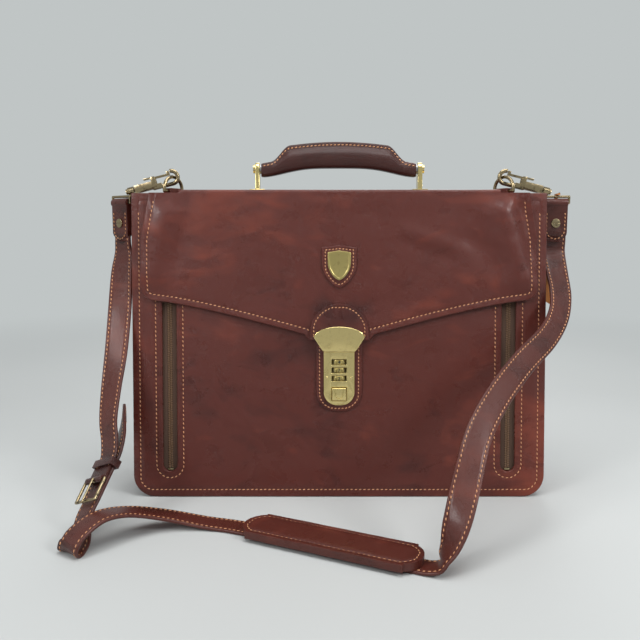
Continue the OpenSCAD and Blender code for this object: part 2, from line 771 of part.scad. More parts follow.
// Each stop of a strap is its middle and the direction of its width, both chosen by hand.
short_stops = [
    [[-205, 6, 235], [0.8, -0.6, 0]],
    [[-205, 6, 224], [0.85, -0.52, 0]],
    [[-204, -6, 205], [0.95, -0.3, 0]],
    [[-202, -22, 175], [1, -0.1, 0]],
    [[-202, -38, 138], [0.98, -0.2, 0]],
    [[-203, -54, 106], [0.9, -0.4, 0.1]],
    [[-201, -72, 82], [0.8, -0.5, 0.25]],
    [[-198, -80, 67], [0.78, -0.53, 0.3]],
    [[-196.5, -87.5, 56.5], [0.765, -0.543, 0.348]],
    [[-197.5, -92, 51.5], [0.765, -0.543, 0.348]],
    [[-199, -97, 47], [0.765, -0.543, 0.348]]
];
long_stops = [
    [[205, 6, 235], [1, 0, 0]],
    [[205, 6, 224], [1, 0, 0]],
    [[205, -6, 206], [0.98, 0.1, -0.1]],
    [[203, -24, 188], [0.9, 0, -0.4]],
    [[196, -42, 170], [0.75, 0, -0.66]],
    [[180, -62, 153], [0.62, 0, -0.78]],
    [[152, -88, 135], [0.68, -0.1, -0.73]],
    [[124, -118, 113], [0.8, -0.1, -0.6]],
    [[104, -142, 90], [0.92, -0.1, -0.4]],
    [[92, -162, 63], [0.97, -0.2, -0.2]],
    [[82, -178, 36], [0.8, -0.6, -0.1]],
    [[73, -185, 14], [0.2, -0.98, 0]],
    [[60, -181, 1.6], [-0.43, -0.9, 0]],
    [[-10, -147, 1.6], [-0.437, -0.9, 0]],
    [[-80, -113, 1.6], [-0.43, -0.9, 0]],
    [[-112, -105, 3], [-0.1, -1, 0]],
    [[-146, -108, 11], [0.2, -0.98, 0]],
    [[-172, -123, 20], [0.5, -0.87, 0]],
    [[-189, -140, 23], [0.72, -0.7, 0]],
    [[-201, -155, 17], [0.8, -0.6, 0]],
    [[-206, -161, 9], [0.8, -0.6, 0]],
    [[-207, -156, 2.4], [0.8, -0.6, 0]],
    [[-206, -145, 3], [0.8, -0.6, 0]],
    [[-206, -135, 9], [0.8, -0.58, 0.15]],
    [[-206, -126, 18], [0.765, -0.543, 0.348]],
    [[-203, -116, 27], [0.765, -0.543, 0.348]],
    [[-200, -106, 36], [0.765, -0.543, 0.348]],
    [[-197, -96, 45], [0.765, -0.543, 0.348]],
    [[-194, -86, 54], [0.765, -0.543, 0.348]],
    [[-193, -70, 64], [0.6, -0.5, 0.6]],
    [[-195, -52, 72], [0.3, -0.4, 0.85]],
    [[-197, -36, 78], [0.1, -0.4, 0.9]]
];
strap_steps = 2;
strap_low = strap_t / 2 + 0.2;

function unit(v) = v / norm(v);

// A smooth curve through four stops, at t from the second to the third.
function smooth(a, b, c, d, t) =
    0.5 * (2 * b + (c - a) * t + (2 * a - 5 * b + 4 * c - d) * t * t + (3 * b - a - 3 * c + d) * t * t * t);

function stop(list, k, part) = list[max(0, min(len(list) - 1, k))][part];

function along(list, part) = [
    for (k = [0:len(list) - 2]) for (j = [0:strap_steps - 1])
        smooth(stop(list, k - 1, part), stop(list, k, part), stop(list, k + 1, part),
            stop(list, k + 2, part), j / strap_steps),
    stop(list, len(list) - 1, part)
];

function off_floor(p) = [p[0], p[1], max(p[2], strap_low)];

// The strap's section: x across its width, y through its thickness, with eased corners.
strap_section = [
    [strap_w / 2, -strap_t / 4], [strap_w / 2, strap_t / 4], [strap_w / 2 - 0.8, strap_t / 2],
    [-strap_w / 2 + 0.8, strap_t / 2], [-strap_w / 2, strap_t / 4], [-strap_w / 2, -strap_t / 4],
    [-strap_w / 2 + 0.8, -strap_t / 2], [strap_w / 2 - 0.8, -strap_t / 2]
];

// One ring of the strap at a point, square to the way the strap runs there.
function strap_ring(p, run, width) =
    let (side = unit(width - run * (width * run)), up = cross(side, run))
    [for (s = strap_section) p + side * s[0] + up * s[1]];

// Sweeps the section through the stops.
module strap(list) {
    mids = [for (p = along(list, 0)) off_floor(p)];
    widths = along(list, 1);
    last = len(mids) - 1;
    sides = len(strap_section);
    first_run = list[1][0] - list[0][0];
    last_run = list[len(list) - 1][0] - list[len(list) - 2][0];
    points = [for (k = [0:last])
        let (run = k == 0 ? first_run : k == last ? last_run : mids[k + 1] - mids[k - 1])
        each strap_ring(mids[k], unit(run), widths[k])];
    walls = [for (k = [0:last - 1]) for (j = [0:sides - 1])
        let (a = k * sides + j, b = k * sides + (j + 1) % sides)
        each [[a, b, a + sides], [b, b + sides, a + sides]]];
    start = [for (j = [sides - 1:-1:0]) j];
    finish = [for (j = [0:sides - 1]) last * sides + j];
    color(leather) polyhedron(points, concat(walls, [start, finish]), convexity = 8);
}

module strap_short() strap(short_stops);

module strap_long() strap(long_stops);

// The sewn end of each strap, folded round the eye's lower bar.
fold_low = 235;
fold_t = 2 * strap_t;
fold_grip = 0.1;
fold_bar_z = hook_z - eye_drop;
stud_z = fold_bar_z - 19;
stud_r = 1.6;

module at_fold(turn) {
    translate([hook_x + eye_out, ring_y, 0]) rotate([0, 0, turn]) children();
}

module strap_fold(turn) {
    color(leather) at_fold(turn) difference() {
        union() {
            translate([-strap_w / 2, 0, fold_bar_z]) rotate([0, 90, 0])
                cylinder(h = strap_w, r = eye_wire + fold_grip + strap_t);
            translate([-strap_w / 2, -fold_t / 2, fold_low]) cube([strap_w, fold_t, fold_bar_z - fold_low]);
        }
        translate([-strap_w, 0, fold_bar_z]) rotate([0, 90, 0])
            cylinder(h = 2 * strap_w, r = eye_wire + fold_grip);
        translate([0, fold_t, stud_z]) rotate([90, 0, 0]) cylinder(h = 2 * fold_t, r = stud_r + run_gap);
    }
}

module strap_stud(turn) {
    head_r = 4.2;
    head_t = 1.2;
    color(antique) at_fold(turn) difference() {
        translate([0, fold_t / 2 + head_t, stud_z]) rotate([90, 0, 0]) union() {
            cylinder(h = head_t, r = head_r);
            cylinder(h = fold_t + 2 * head_t, r = stud_r);
            translate([0, 0, fold_t + head_t]) cylinder(h = head_t, r = head_r);
        }
        translate([-head_r, -fold_t / 2 - head_t - past, stud_z - 0.5]) cube([2 * head_r, past + 0.6, 1]);
    }
}

left_turn = 37;

module ring_tab_left() on_side(-1) ring_tab();
module ring_tab_right() on_side(1) ring_tab();
module d_ring_left() on_side(-1) d_ring();
module d_ring_right() on_side(1) d_ring();
module snap_hook_left() on_side(-1) snap_hook();
module snap_hook_right() on_side(1) snap_hook();
module hook_gate_left() on_side(-1) hook_gate();
module hook_gate_right() on_side(1) hook_gate();
module hook_eye_left() on_side(-1) hook_eye(left_turn);
module hook_eye_right() on_side(1) hook_eye(0);
module strap_fold_left() on_side(-1) strap_fold(left_turn);
module strap_fold_right() on_side(1) strap_fold(0);
module strap_stud_left() on_side(-1) strap_stud(left_turn);
module strap_stud_right() on_side(1) strap_stud(0);

// The pad lies on the strap, along the straight stretch between its two stops.
pad_mid = [-10, -147];
pad_run = unit([70, -34]);

module shoulder_pad() {
    end_r = pad_w / 2;
    color(leather) translate([pad_mid[0], pad_mid[1], strap_low + strap_t / 2 + seat_gap])
        rotate([0, 0, atan2(pad_run[1], pad_run[0])]) linear_extrude(pad_t) intersection() {
            square([pad_len, pad_w], center = true);
            union() {
                square([pad_len - end_r, pad_w], center = true);
                for (side = [-1, 1]) translate([side * (pad_len / 2 - end_r), 0]) circle(end_r);
            }
        }
}

// The buckle end: x across the strap, y up it, z out of its face, from the short strap's end.
buckle_at = [-199, -97, 47];
buckle_up = unit([3, 10, 9]);
buckle_across = unit([0.765, -0.543, 0.348] - buckle_up * ([0.765, -0.543, 0.348] * buckle_up));
buckle_out = cross(buckle_across, buckle_up);

module at_buckle() {
    x = buckle_across;
    y = buckle_up;
    z = buckle_out;
    multmatrix([
        [x[0], y[0], z[0], buckle_at[0]],
        [x[1], y[1], z[1], buckle_at[1]],
        [x[2], y[2], z[2], buckle_at[2]],
        [0, 0, 0, 1]
    ]) children();
}

frame_wire = 1.3;
frame_half = strap_w / 2 + 2.2;
bar_y = -12;
frame_len = 19;
frame_z = 1.8;
strap_behind = 3;
prong_r = 0.9;

// The leather end that holds the buckle's bar, and the loop that keeps the free end.
module strap_keeper() {
    band = 1.3;
    slack = 0.6;
    low = -strap_behind - strap_t / 2 - slack;
    high = strap_t / 2 + slack;
    color(leather) at_buckle() {
        difference() {
            union() {
                translate([-strap_w / 2, bar_y, -strap_t / 2]) cube([strap_w, -bar_y, strap_t]);
                translate([-strap_w / 2, bar_y, frame_z]) rotate([0, 90, 0])
                    cylinder(h = strap_w, r = frame_wire + 1.5);
            }
            translate([-strap_w, bar_y, frame_z]) rotate([0, 90, 0])
                cylinder(h = 2 * strap_w, r = frame_wire + run_gap);
            translate([-2.2, bar_y - 6, -6]) cube([4.4, 10, 16]);
        }
        difference() {
            translate([-strap_w / 2 - slack - band, 1, low - band])
                cube([strap_w + 2 * (slack + band), 7, high - low + 2 * band]);
            translate([-strap_w / 2 - slack, 0, low]) cube([strap_w + 2 * slack, 9, high - low]);
        }
    }
}

module strap_buckle() {
    color(antique) at_buckle() translate([0, bar_y, frame_z]) {
        for (y = [0, -frame_len]) translate([-frame_half, y, 0]) rotate([0, 90, 0])
            cylinder(h = 2 * frame_half, r = frame_wire);
        for (side = [-1, 1]) translate([side * frame_half, 0, 0]) {
            rotate([90, 0, 0]) cylinder(h = frame_len, r = frame_wire);
            sphere(frame_wire);
            translate([0, -frame_len, 0]) sphere(frame_wire);
        }
    }
}

module buckle_prong() {
    over = frame_wire + 0.3 + prong_r;
    color(antique) at_buckle() translate([0, bar_y, frame_z]) difference() {
        union() {
            translate([-1.5, 0, 0]) rotate([0, 90, 0]) cylinder(h = 3, r = frame_wire + 1.3);
            translate([0, 0, over]) rotate([90, 0, 0]) cylinder(h = frame_len + 3, r = prong_r);
        }
        translate([-3, 0, 0]) rotate([0, 90, 0]) cylinder(h = 6, r = frame_wire + run_gap);
    }
}

// A tag cut from hide, hung on its own thong from the right-hand eye's upper bar.
tag_y = 9.9;
tag_t = 1.4;
tag_x = 207;
tag_high = 208;
tag_w = 29;
tag_h = 33;

module hide_tag() {
    thong_w = 3;
    bar_top = hook_z - eye_top + eye_wire + seat_gap;
    color(suede) {
        plate(tag_y, tag_t) {
            translate([tag_x, tag_high - tag_h * 0.45]) shield(tag_w, tag_h);
            translate([tag_x - thong_w / 2, tag_high - 6]) square([thong_w, bar_top + tag_t - tag_high + 6]);
        }
        translate([tag_x - thong_w / 2, ring_y - 2.5, bar_top])
            cube([thong_w, tag_y + tag_t - ring_y + 2.5, tag_t]);
    }
}

front_panel();
back_panel();
base_panel();
gusset_left();
gusset_right();
divider();
slip_pocket();
pocket_bag_left();
pocket_bag_right();
zip_tape_left();
zip_tape_right();
zip_coil_left();
zip_coil_right();
zip_slider_left();
zip_slider_right();
zip_pull_left();
zip_pull_right();
lock_patch();
lock_plate();
lock_case();
lock_backing();
dial_upper();
dial_middle();
dial_lower();
dial_axle();
release_button();
latch_bolt();
flap_top();
flap_front();
hasp_patch();
hasp();
emblem_patch();
emblem_shield();
handle_bracket_left();
handle_bracket_right();
handle_pin_left();
handle_pin_right();
handle_bar();
handle_grip();
ring_tab_left();
ring_tab_right();
d_ring_left();
d_ring_right();
snap_hook_left();
snap_hook_right();
hook_gate_left();
hook_gate_right();
hook_eye_left();
hook_eye_right();
strap_fold_left();
strap_fold_right();
strap_stud_left();
strap_stud_right();
strap_short();
strap_long();
shoulder_pad();
strap_keeper();
strap_buckle();
buckle_prong();
hide_tag();
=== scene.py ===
"""A leather flap briefcase with a combination lock, zipped pockets and a clip-on shoulder strap."""

import json
import logging
import math
from dataclasses import dataclass, field
from enum import Enum
from typing import Callable, Optional, Sequence

import bmesh
import bpy
from mathutils import Matrix, Vector, noise

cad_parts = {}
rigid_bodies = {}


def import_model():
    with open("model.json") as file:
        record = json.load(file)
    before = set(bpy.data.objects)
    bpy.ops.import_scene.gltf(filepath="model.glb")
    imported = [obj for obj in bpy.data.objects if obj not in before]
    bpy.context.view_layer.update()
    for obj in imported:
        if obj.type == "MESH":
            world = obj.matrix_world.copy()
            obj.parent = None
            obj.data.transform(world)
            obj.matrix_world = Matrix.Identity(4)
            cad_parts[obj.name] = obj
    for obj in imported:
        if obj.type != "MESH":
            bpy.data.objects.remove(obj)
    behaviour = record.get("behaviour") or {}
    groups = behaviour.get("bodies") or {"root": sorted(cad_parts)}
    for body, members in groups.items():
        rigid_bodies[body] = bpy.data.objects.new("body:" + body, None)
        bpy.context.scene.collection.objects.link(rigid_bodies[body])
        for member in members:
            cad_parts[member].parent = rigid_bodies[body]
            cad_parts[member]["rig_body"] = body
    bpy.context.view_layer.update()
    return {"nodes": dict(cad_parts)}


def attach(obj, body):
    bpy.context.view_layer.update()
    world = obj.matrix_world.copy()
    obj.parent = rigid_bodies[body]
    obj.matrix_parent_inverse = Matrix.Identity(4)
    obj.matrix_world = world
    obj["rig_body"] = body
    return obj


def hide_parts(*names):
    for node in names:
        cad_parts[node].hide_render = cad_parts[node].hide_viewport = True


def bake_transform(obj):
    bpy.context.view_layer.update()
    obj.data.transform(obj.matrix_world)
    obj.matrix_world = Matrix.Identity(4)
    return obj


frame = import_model()
LOG = logging.getLogger("briefcase")
MM = 0.001
HALF_DEPTH = 0.040
FRONT_LEAN = math.atan(24 / 282)
BACK_LEAN = math.atan(12 / 282)
# The places of the case's leaning faces. In each, x runs across, z up the face and -y out of it.
FRONT = Matrix.Translation((0, -HALF_DEPTH, 0)) @ Matrix.Rotation(-FRONT_LEAN, 4, "X")
BACK = (Matrix.Translation((0, HALF_DEPTH, 0)) @ Matrix.Rotation(BACK_LEAN, 4, "X")
        @ Matrix.Rotation(math.pi, 4, "Z"))
FACE_UP = Matrix.Rotation(-math.pi / 2, 4, "X")
# The handle, the rings and the straps' folds are all centred on this y.
TOP_Y = 0.0056415
THREAD_LIFT = 0.00012

BMesh = bmesh.types.BMesh
Socket = bpy.types.NodeSocket
Swell = Callable[[float, float], float]
Keep = Callable[[Vector], bool]


def srgb(r: int, g: int, b: int) -> tuple[float, float, float, float]:
    """Turns a display colour from 0 to 255 into the linear colour that a shader reads."""
    parts = [c / 255 for c in (r, g, b)]
    linear = [c / 12.92 if c <= 0.04045 else ((c + 0.055) / 1.055) ** 2.4 for c in parts]
    return (linear[0], linear[1], linear[2], 1.0)


def ease(low: float, high: float, value: float) -> float:
    """Rises smoothly from 0 at low to 1 at high."""
    t = max(0.0, min(1.0, (value - low) / (high - low)))
    return t * t * (3 - 2 * t)


# ---- Finishes ----


@dataclass(frozen=True)
class Value:
    """A number socket of a shader that Python's arithmetic works on."""

    nodes: "Tree"
    socket: Socket

    def _math(self, operation: str, a: object, b: object) -> "Value":
        """Adds one Math node and wraps what it gives."""
        node = self.nodes.add("ShaderNodeMath", {"operation": operation}, {0: a, 1: b})
        return Value(self.nodes, node.outputs[0])

    def __add__(self, other: object) -> "Value":
        """Adds."""
        return self._math("ADD", self, other)

    __radd__ = __add__

    def __sub__(self, other: object) -> "Value":
        """Subtracts."""
        return self._math("SUBTRACT", self, other)

    def __rsub__(self, other: object) -> "Value":
        """Subtracts from a number."""
        return self._math("SUBTRACT", other, self)

    def __mul__(self, other: object) -> "Value":
        """Multiplies."""
        return self._math("MULTIPLY", self, other)


class Tree:
    """A tree of shader nodes, built node by node."""

    def __init__(self, owner: bpy.types.ID) -> None:
        """Starts the tree of a material or a world."""
        owner.use_nodes = True
        self.tree = owner.node_tree

    def feed(self, socket: Socket, value: object) -> None:
        """Links a socket to another, or sets its value.

        Args:
            socket: The input socket.
            value: A Value, a socket, a number or a colour.
        """
        if isinstance(value, Value):
            value = value.socket
        if isinstance(value, Socket):
            self.tree.links.new(value, socket)
        else:
            socket.default_value = value

    def add(self, kind: str, settings: Optional[dict] = None,
            inputs: Optional[dict] = None) -> bpy.types.Node:
        """Adds one node.

        Args:
            kind: The node's type.
            settings: Its properties, which are set first; "stops" are a ramp's.
            inputs: What its sockets hold, by name or index.

        Returns:
            The node.
        """
        node = self.tree.nodes.new(kind)
        for name, value in (settings or {}).items():
            if name == "stops":
                ramp = node.color_ramp
                while len(ramp.elements) < len(value):
                    ramp.elements.new(0.5)
                for element, (at, colour) in zip(ramp.elements, value):
                    element.position = at
                    element.color = colour
            else:
                setattr(node, name, value)
        for name, value in (inputs or {}).items():
            self.feed(node.inputs[name], value)
        return node

    def seen(self) -> tuple[Socket, Socket]:
        """Gives the sockets that tell what the camera sees, directly and in a shiny face."""
        path = self.add("ShaderNodeLightPath").outputs
        return path["Is Camera Ray"], path["Is Glossy Ray"]

    def blend(self, by: object, first: bpy.types.Node, second: bpy.types.Node, end: str) -> None:
        """Mixes two shaders and feeds the node that ends the tree."""
        mixed = self.add("ShaderNodeMixShader", {}, {0: by, 1: first.outputs[0], 2: second.outputs[0]})
        self.feed(self.tree.nodes[end].inputs["Surface"], mixed.outputs[0])


class Nodes(Tree):
    """The shader of one material: the patterns and mixes that the finishes are made of."""

    def __init__(self, name: str) -> None:
        """Makes a material of that name, with an empty Principled shader."""
        self.material = bpy.data.materials.new(name)
        super().__init__(self.material)
        self.shader = self.tree.nodes["Principled BSDF"]
        self.place = self.add("ShaderNodeTexCoord").outputs["Object"]

    def stretched(self, scale: Sequence[float]) -> Socket:
        """Gives object coordinates stretched along each axis."""
        return self.add("ShaderNodeMapping", {}, {"Vector": self.place, "Scale": scale}).outputs[0]

    def cloud(self, scale: float, detail: float = 3.0, distortion: float = 0.0, at: object = None) -> Value:
        """Gives a noise from 0 to 1 of that many features to the metre."""
        node = self.add("ShaderNodeTexNoise", {}, {
            "Vector": at or self.place, "Scale": scale, "Detail": detail, "Distortion": distortion,
        })
        return Value(self, node.outputs["Fac"])

    def cells(self, scale: float) -> Value:
        """Gives the distance to the nearest wall in cells of that many to the metre."""
        node = self.add("ShaderNodeTexVoronoi", {"feature": "DISTANCE_TO_EDGE"},
                        {"Vector": self.place, "Scale": scale})
        return Value(self, node.outputs["Distance"])

    def ribs(self, across: str, scale: float) -> Value:
        """Gives slightly uneven ribs from 0 to 1, across an axis."""
        node = self.add("ShaderNodeTexWave", {"bands_direction": across},
                        {"Vector": self.place, "Scale": scale, "Distortion": 0.4})
        return Value(self, node.outputs["Fac"])

    def ramp(self, by: Value, stops: Sequence[tuple[float, tuple]]) -> Socket:
        """Gives the colour of a ramp."""
        return self.add("ShaderNodeValToRGB", {"stops": stops}, {"Fac": by}).outputs["Color"]

    def mask(self, by: Value, low: float, high: float) -> Value:
        """Gives 0 below low and 1 above high."""
        node = self.add("ShaderNodeMapRange", {"interpolation_type": "SMOOTHSTEP"}, {
            "Value": by, "From Min": low, "From Max": high,
        })
        return Value(self, node.outputs["Result"])

    def mix(self, a: object, b: object, by: Value) -> Socket:
        """Mixes two colours."""
        node = self.add("ShaderNodeMix", {"data_type": "RGBA"}, {0: by, 6: a, 7: b})
        return node.outputs[2]

    def bump(self, *layers: tuple[Value, float]) -> None:
        """Feeds the shader's normal from bump layers, each a height and its depth in metres."""
        normal = None
        for height, depth in layers:
            inputs = {"Height": height, "Distance": depth, "Strength": 1.0}
            if normal is not None:
                inputs["Normal"] = normal
            normal = self.add("ShaderNodeBump", {}, inputs).outputs[0]
        self.feed(self.shader.inputs["Normal"], normal)

    def done(self, **sockets: object) -> bpy.types.Material:
        """Sets the shader's sockets, named with _ for a space, and gives the material."""
        for name, value in sockets.items():
            self.feed(self.shader.inputs[name.replace("_", " ")], value)
        return self.material


@dataclass(frozen=True)
class Leather:
    """Waxed, burnished calf leather."""

    name: str
    dark: tuple = srgb(56, 21, 17)
    middle: tuple = srgb(84, 35, 27)
    light: tuple = srgb(118, 53, 38)
    gloss: float = 0.30
    grain: float = 0.00007
    crease: float = 0.0009

    def make(self) -> bpy.types.Material:
        """Builds the material: mottled colour, pores, fine grain and wide soft creases."""
        n = Nodes(self.name)
        blotch = n.cloud(8, 3, 0.9)
        small = n.cloud(48, 4, 0.4)
        streak = n.cloud(19, 3, 1.3, n.stretched((1, 1, 2.2)))
        tone = blotch * 0.62 + small * 0.08 + streak * 0.30
        stops = [(0.33, self.dark), (0.46, self.middle), (0.53, self.middle), (0.66, self.light)]
        colour = n.ramp(tone, stops)
        pores = n.cells(1100)
        grain = n.cloud(1500, 2)
        worn = n.mix(colour, self.dark, (1 - n.mask(small, 0.34, 0.50)) * 0.06)
        rough = self.gloss + (small - 0.5) * 0.24 + (streak - 0.5) * 0.16 + (grain - 0.5) * 0.06
        n.bump(
            (blotch, self.crease * 5), (small, self.crease * 0.35),
            (n.mask(pores, 0.0, 0.22), self.grain), (grain, self.grain * 0.5),
        )
        return n.done(Base_Color=worn, Roughness=rough, Coat_Weight=0.10, Coat_Roughness=0.16,
                      Specular_IOR_Level=0.30)


@dataclass(frozen=True)
class Metal:
    """A plated metal with fine brushing and darker hollows."""

    name: str
    colour: tuple
    shade: tuple
    rough: float
    brushed: tuple = (1, 1, 1)
    tarnish: float = 0.3

    def make(self) -> bpy.types.Material:
        """Builds the material."""
        n = Nodes(self.name)
        lines = n.cloud(900, 2, 0, n.stretched(self.brushed))
        patch = n.cloud(160, 4, 0.6)
        spots = n.mask(patch, 0.52, 0.72) * self.tarnish
        colour = n.mix(self.colour, self.shade, spots)
        rough = self.rough + (lines - 0.5) * 0.16 + spots * 0.25
        n.bump((lines, 0.000012), (patch, 0.00006))
        return n.done(Base_Color=colour, Roughness=rough, Metallic=1.0)


@dataclass(frozen=True)
class Woven:
    """A woven tape or lining cloth."""

    name: str
    colour: tuple
    shade: tuple
    threads: float = 900

    def make(self) -> bpy.types.Material:
        """Builds the material: crossing ribs with a soft sheen."""
        n = Nodes(self.name)
        weave = n.ribs("X", self.threads / 3) * n.ribs("Z", self.threads / 3)
        fuzz = n.cloud(2200, 2)
        n.bump((weave, 0.00016), (fuzz, 0.00006))
        colour = n.mix(self.shade, self.colour, weave * 0.6 + fuzz * 0.4)
        return n.done(Base_Color=colour, Roughness=0.86, Sheen_Weight=0.25, Sheen_Roughness=0.5)


@dataclass(frozen=True)
class Plain:
    """A small part's finish: thread, paint, suede or nylon."""

    name: str
    colour: tuple
    shade: tuple
    rough: float
    scale: float = 1800
    depth: float = 0.00008
    sheen: float = 0.0

    def make(self) -> bpy.types.Material:
        """Builds the material: two tones of one colour and a fine nap."""
        n = Nodes(self.name)
        nap = n.cloud(self.scale, 4, 0.5)
        wide = n.cloud(self.scale / 14, 3)
        colour = n.mix(self.shade, self.colour, nap * 0.45 + wide * 0.55)
        n.bump((nap, self.depth))
        rough = self.rough + (nap - 0.5) * 0.15
        return n.done(Base_Color=colour, Roughness=rough, Sheen_Weight=self.sheen, Sheen_Roughness=0.4)


class Finish(Enum):
    """Every finish on the case."""

    LEATHER = Leather("burnished_leather")
    STRAP = Leather("strap_leather", srgb(50, 21, 17), srgb(80, 36, 28), srgb(104, 50, 38),
                    crease=0.0004)
    GRIP = Leather("grip_leather", srgb(36, 16, 13), srgb(60, 26, 21), srgb(84, 38, 30),
                   gloss=0.33, grain=0.00008, crease=0.0004)
    LINING = Plain("suede_lining", srgb(120, 92, 68), srgb(92, 68, 50), 0.9, 1600, 0.00012, 0.3)
    BRASS = Metal("satin_brass", srgb(214, 194, 134), srgb(150, 128, 80), 0.19, (1, 40, 40), 0.3)
    DIAL = Metal("dial_brass", srgb(176, 160, 104), srgb(104, 90, 54), 0.34, (40, 40, 1), 0.4)
    ANTIQUE = Metal("antique_brass", srgb(152, 136, 106), srgb(46, 39, 30), 0.22, (6, 6, 30), 0.9)
    STEEL = Metal("plain_steel", srgb(150, 150, 150), srgb(90, 90, 92), 0.35)
    THREAD = Plain("waxed_thread", srgb(224, 170, 126), srgb(186, 124, 82), 0.6, 3000, 0.00010)
    TAPE = Woven("zip_tape", srgb(98, 68, 48), srgb(58, 39, 28))
    COIL = Plain("zip_nylon", srgb(132, 100, 70), srgb(92, 66, 46), 0.38)
    CLOTH = Woven("pocket_cloth", srgb(104, 86, 66), srgb(70, 56, 42), 700)
    SUEDE = Plain("hide_suede", srgb(196, 130, 70), srgb(158, 96, 46), 0.92, 1400, 0.00018, 0.35)
    PAINT = Plain("black_digits", srgb(26, 23, 18), srgb(14, 12, 10), 0.5)


MADE: dict[Finish, bpy.types.Material] = {}


def material(finish: Finish) -> bpy.types.Material:
    """Gives a finish's material, made once."""
    if finish not in MADE:
        MADE[finish] = finish.value.make()
    return MADE[finish]


# ---- Making meshes ----


def put(name: str, data: bpy.types.ID) -> bpy.types.Object:
    """Puts a mesh, a curve, a lamp or a camera in the scene."""
    made = bpy.data.objects.new(name, data)
    bpy.context.scene.collection.objects.link(made)
    return made


def piece(name: str, bm: BMesh, finish: Finish, body: Optional[str],
          stands_for: Sequence[str] = (), slot: str = "", sharp: float = 38) -> bpy.types.Object:
    """Turns a bmesh into a named piece of the case.

    Args:
        name: The piece's name.
        bm: Its mesh, in its place.
        finish: What it is made of.
        body: The CAD body that it rides on, or None where it bends between two.
        stands_for: The CAD nodes that it replaces.
        slot: Not used.
        sharp: The angle past which an edge looks sharp, in degrees.

    Returns:
        The object.
    """
    mesh = bpy.data.meshes.new(name)
    bm.to_mesh(mesh)
    bm.free()
    mesh.polygons.foreach_set("use_smooth", [True] * len(mesh.polygons))
    mesh.set_sharp_from_angle(angle=math.radians(sharp))
    mesh.materials.append(material(finish))
    made = put(name, mesh)
    if body:
        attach(made, body)
    if stands_for:
        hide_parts(*stands_for)
    LOG.info("%s: %d faces", name, len(mesh.polygons))
    return made


def body_of(node: str) -> str:
    """Gives the CAD body that holds a node."""
    return frame["nodes"][node]["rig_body"]


def cad_copy(node: str) -> BMesh:
    """Gives a merged copy of a CAD node's mesh, with its flat faces whole."""
    bm = bmesh.new()
    bm.from_mesh(frame["nodes"][node].data)
    bmesh.ops.remove_doubles(bm, verts=bm.verts, dist=1e-6)
    bmesh.ops.dissolve_limit(bm, angle_limit=math.radians(0.5), verts=bm.verts, edges=bm.edges)
    return bm


def outward(place: Matrix) -> Vector:
    """Gives the way out of the face that lies at a place."""
    return (place.to_3x3() @ Vector((0, -1, 0))).normalized()


def sized(at: Sequence[float], size: Sequence[float]) -> Matrix:
    """Gives the matrix that puts a unit shape at a point, with that size along each axis."""
    return Matrix.Translation(at) @ Matrix.Diagonal((*size, 1))


def add_pill(bm: BMesh, place: Matrix) -> None:
    """Adds one small rounded lump: a stitch, a tooth or part of a line."""
    bmesh.ops.create_icosphere(bm, subdivisions=1, radius=0.5, matrix=place)


def there_and_back(v: float) -> tuple[bool, float]:
    """Splits a share of the way round a thin strip: whether it is on the inside, and how far across."""
    return v > 0.5, 2 * v if v <= 0.5 else 2 - 2 * v


def surface(across: int, along: int, place: Callable[[float, float], Vector], capped: bool = False) -> BMesh:
    """Makes a skin from a grid whose corners are moved to their places, and closes its seams.

    Args:
        across: Faces in the first direction.
        along: Faces in the second.
        place: Gives a point from two shares, each from 0 to 1.
        capped: Fills the holes at its ends.

    Returns:
        The mesh, with its normals outwards.
    """
    bm = bmesh.new()
    bmesh.ops.create_grid(bm, x_segments=across, y_segments=along, size=0.5)
    for vert in bm.verts:
        vert.co = place(vert.co.x + 0.5, vert.co.y + 0.5)
    bmesh.ops.remove_doubles(bm, verts=bm.verts, dist=2e-6)
    bmesh.ops.dissolve_degenerate(bm, edges=bm.edges, dist=1e-6)
    bmesh.ops.recalc_face_normals(bm, faces=bm.faces)
    if capped:
        bmesh.ops.holes_fill(bm, edges=bm.edges, sides=0)
        bmesh.ops.recalc_face_normals(bm, faces=bm.faces)
    return bm


def cut(bm: BMesh, at: Sequence[float], normal: Sequence[float], clear: bool = False) -> None:
    """Cuts every face along a plane, and where told deletes what is past it."""
    bmesh.ops.bisect_plane(bm, geom=bm.verts[:] + bm.edges[:] + bm.faces[:], dist=1e-7, plane_co=at,
                           plane_no=normal, clear_outer=clear)


def slice_grid(bm: BMesh, pitch: float) -> None:
    """Cuts every face along a grid of planes across x and z, so that the sheet can bend."""
    for axis in (0, 2):
        low = min(v.co[axis] for v in bm.verts)
        high = max(v.co[axis] for v in bm.verts)
        count = int((high - low) / pitch)
        normal = [0.0, 0.0, 0.0]
        normal[axis] = 1.0
        for k in range(1, count + 1):
            at = [0.0, 0.0, 0.0]
            at[axis] = low + (high - low) * k / (count + 1)
            cut(bm, at, normal)


def bevel(bm: BMesh, edges: Sequence[bmesh.types.BMEdge], radius: float, segments: int,
          clamp: bool = True) -> None:
    """Rounds some edges; clamped, less where two would run into each other."""
    bmesh.ops.bevel(bm, geom=edges, offset=radius, offset_type="OFFSET", segments=segments, profile=0.5,
                    affect="EDGES", clamp_overlap=clamp, material=-1)


def round_edges(bm: BMesh, radius: float, segments: int = 3, over: float = 50) -> None:
    """Rounds every edge that turns by more than an angle in degrees."""
    turn = math.radians(over)
    sharp = [e for e in bm.edges if len(e.link_faces) == 2 and e.calc_face_angle(0) > turn]
    if sharp:
        bevel(bm, sharp, radius, segments)


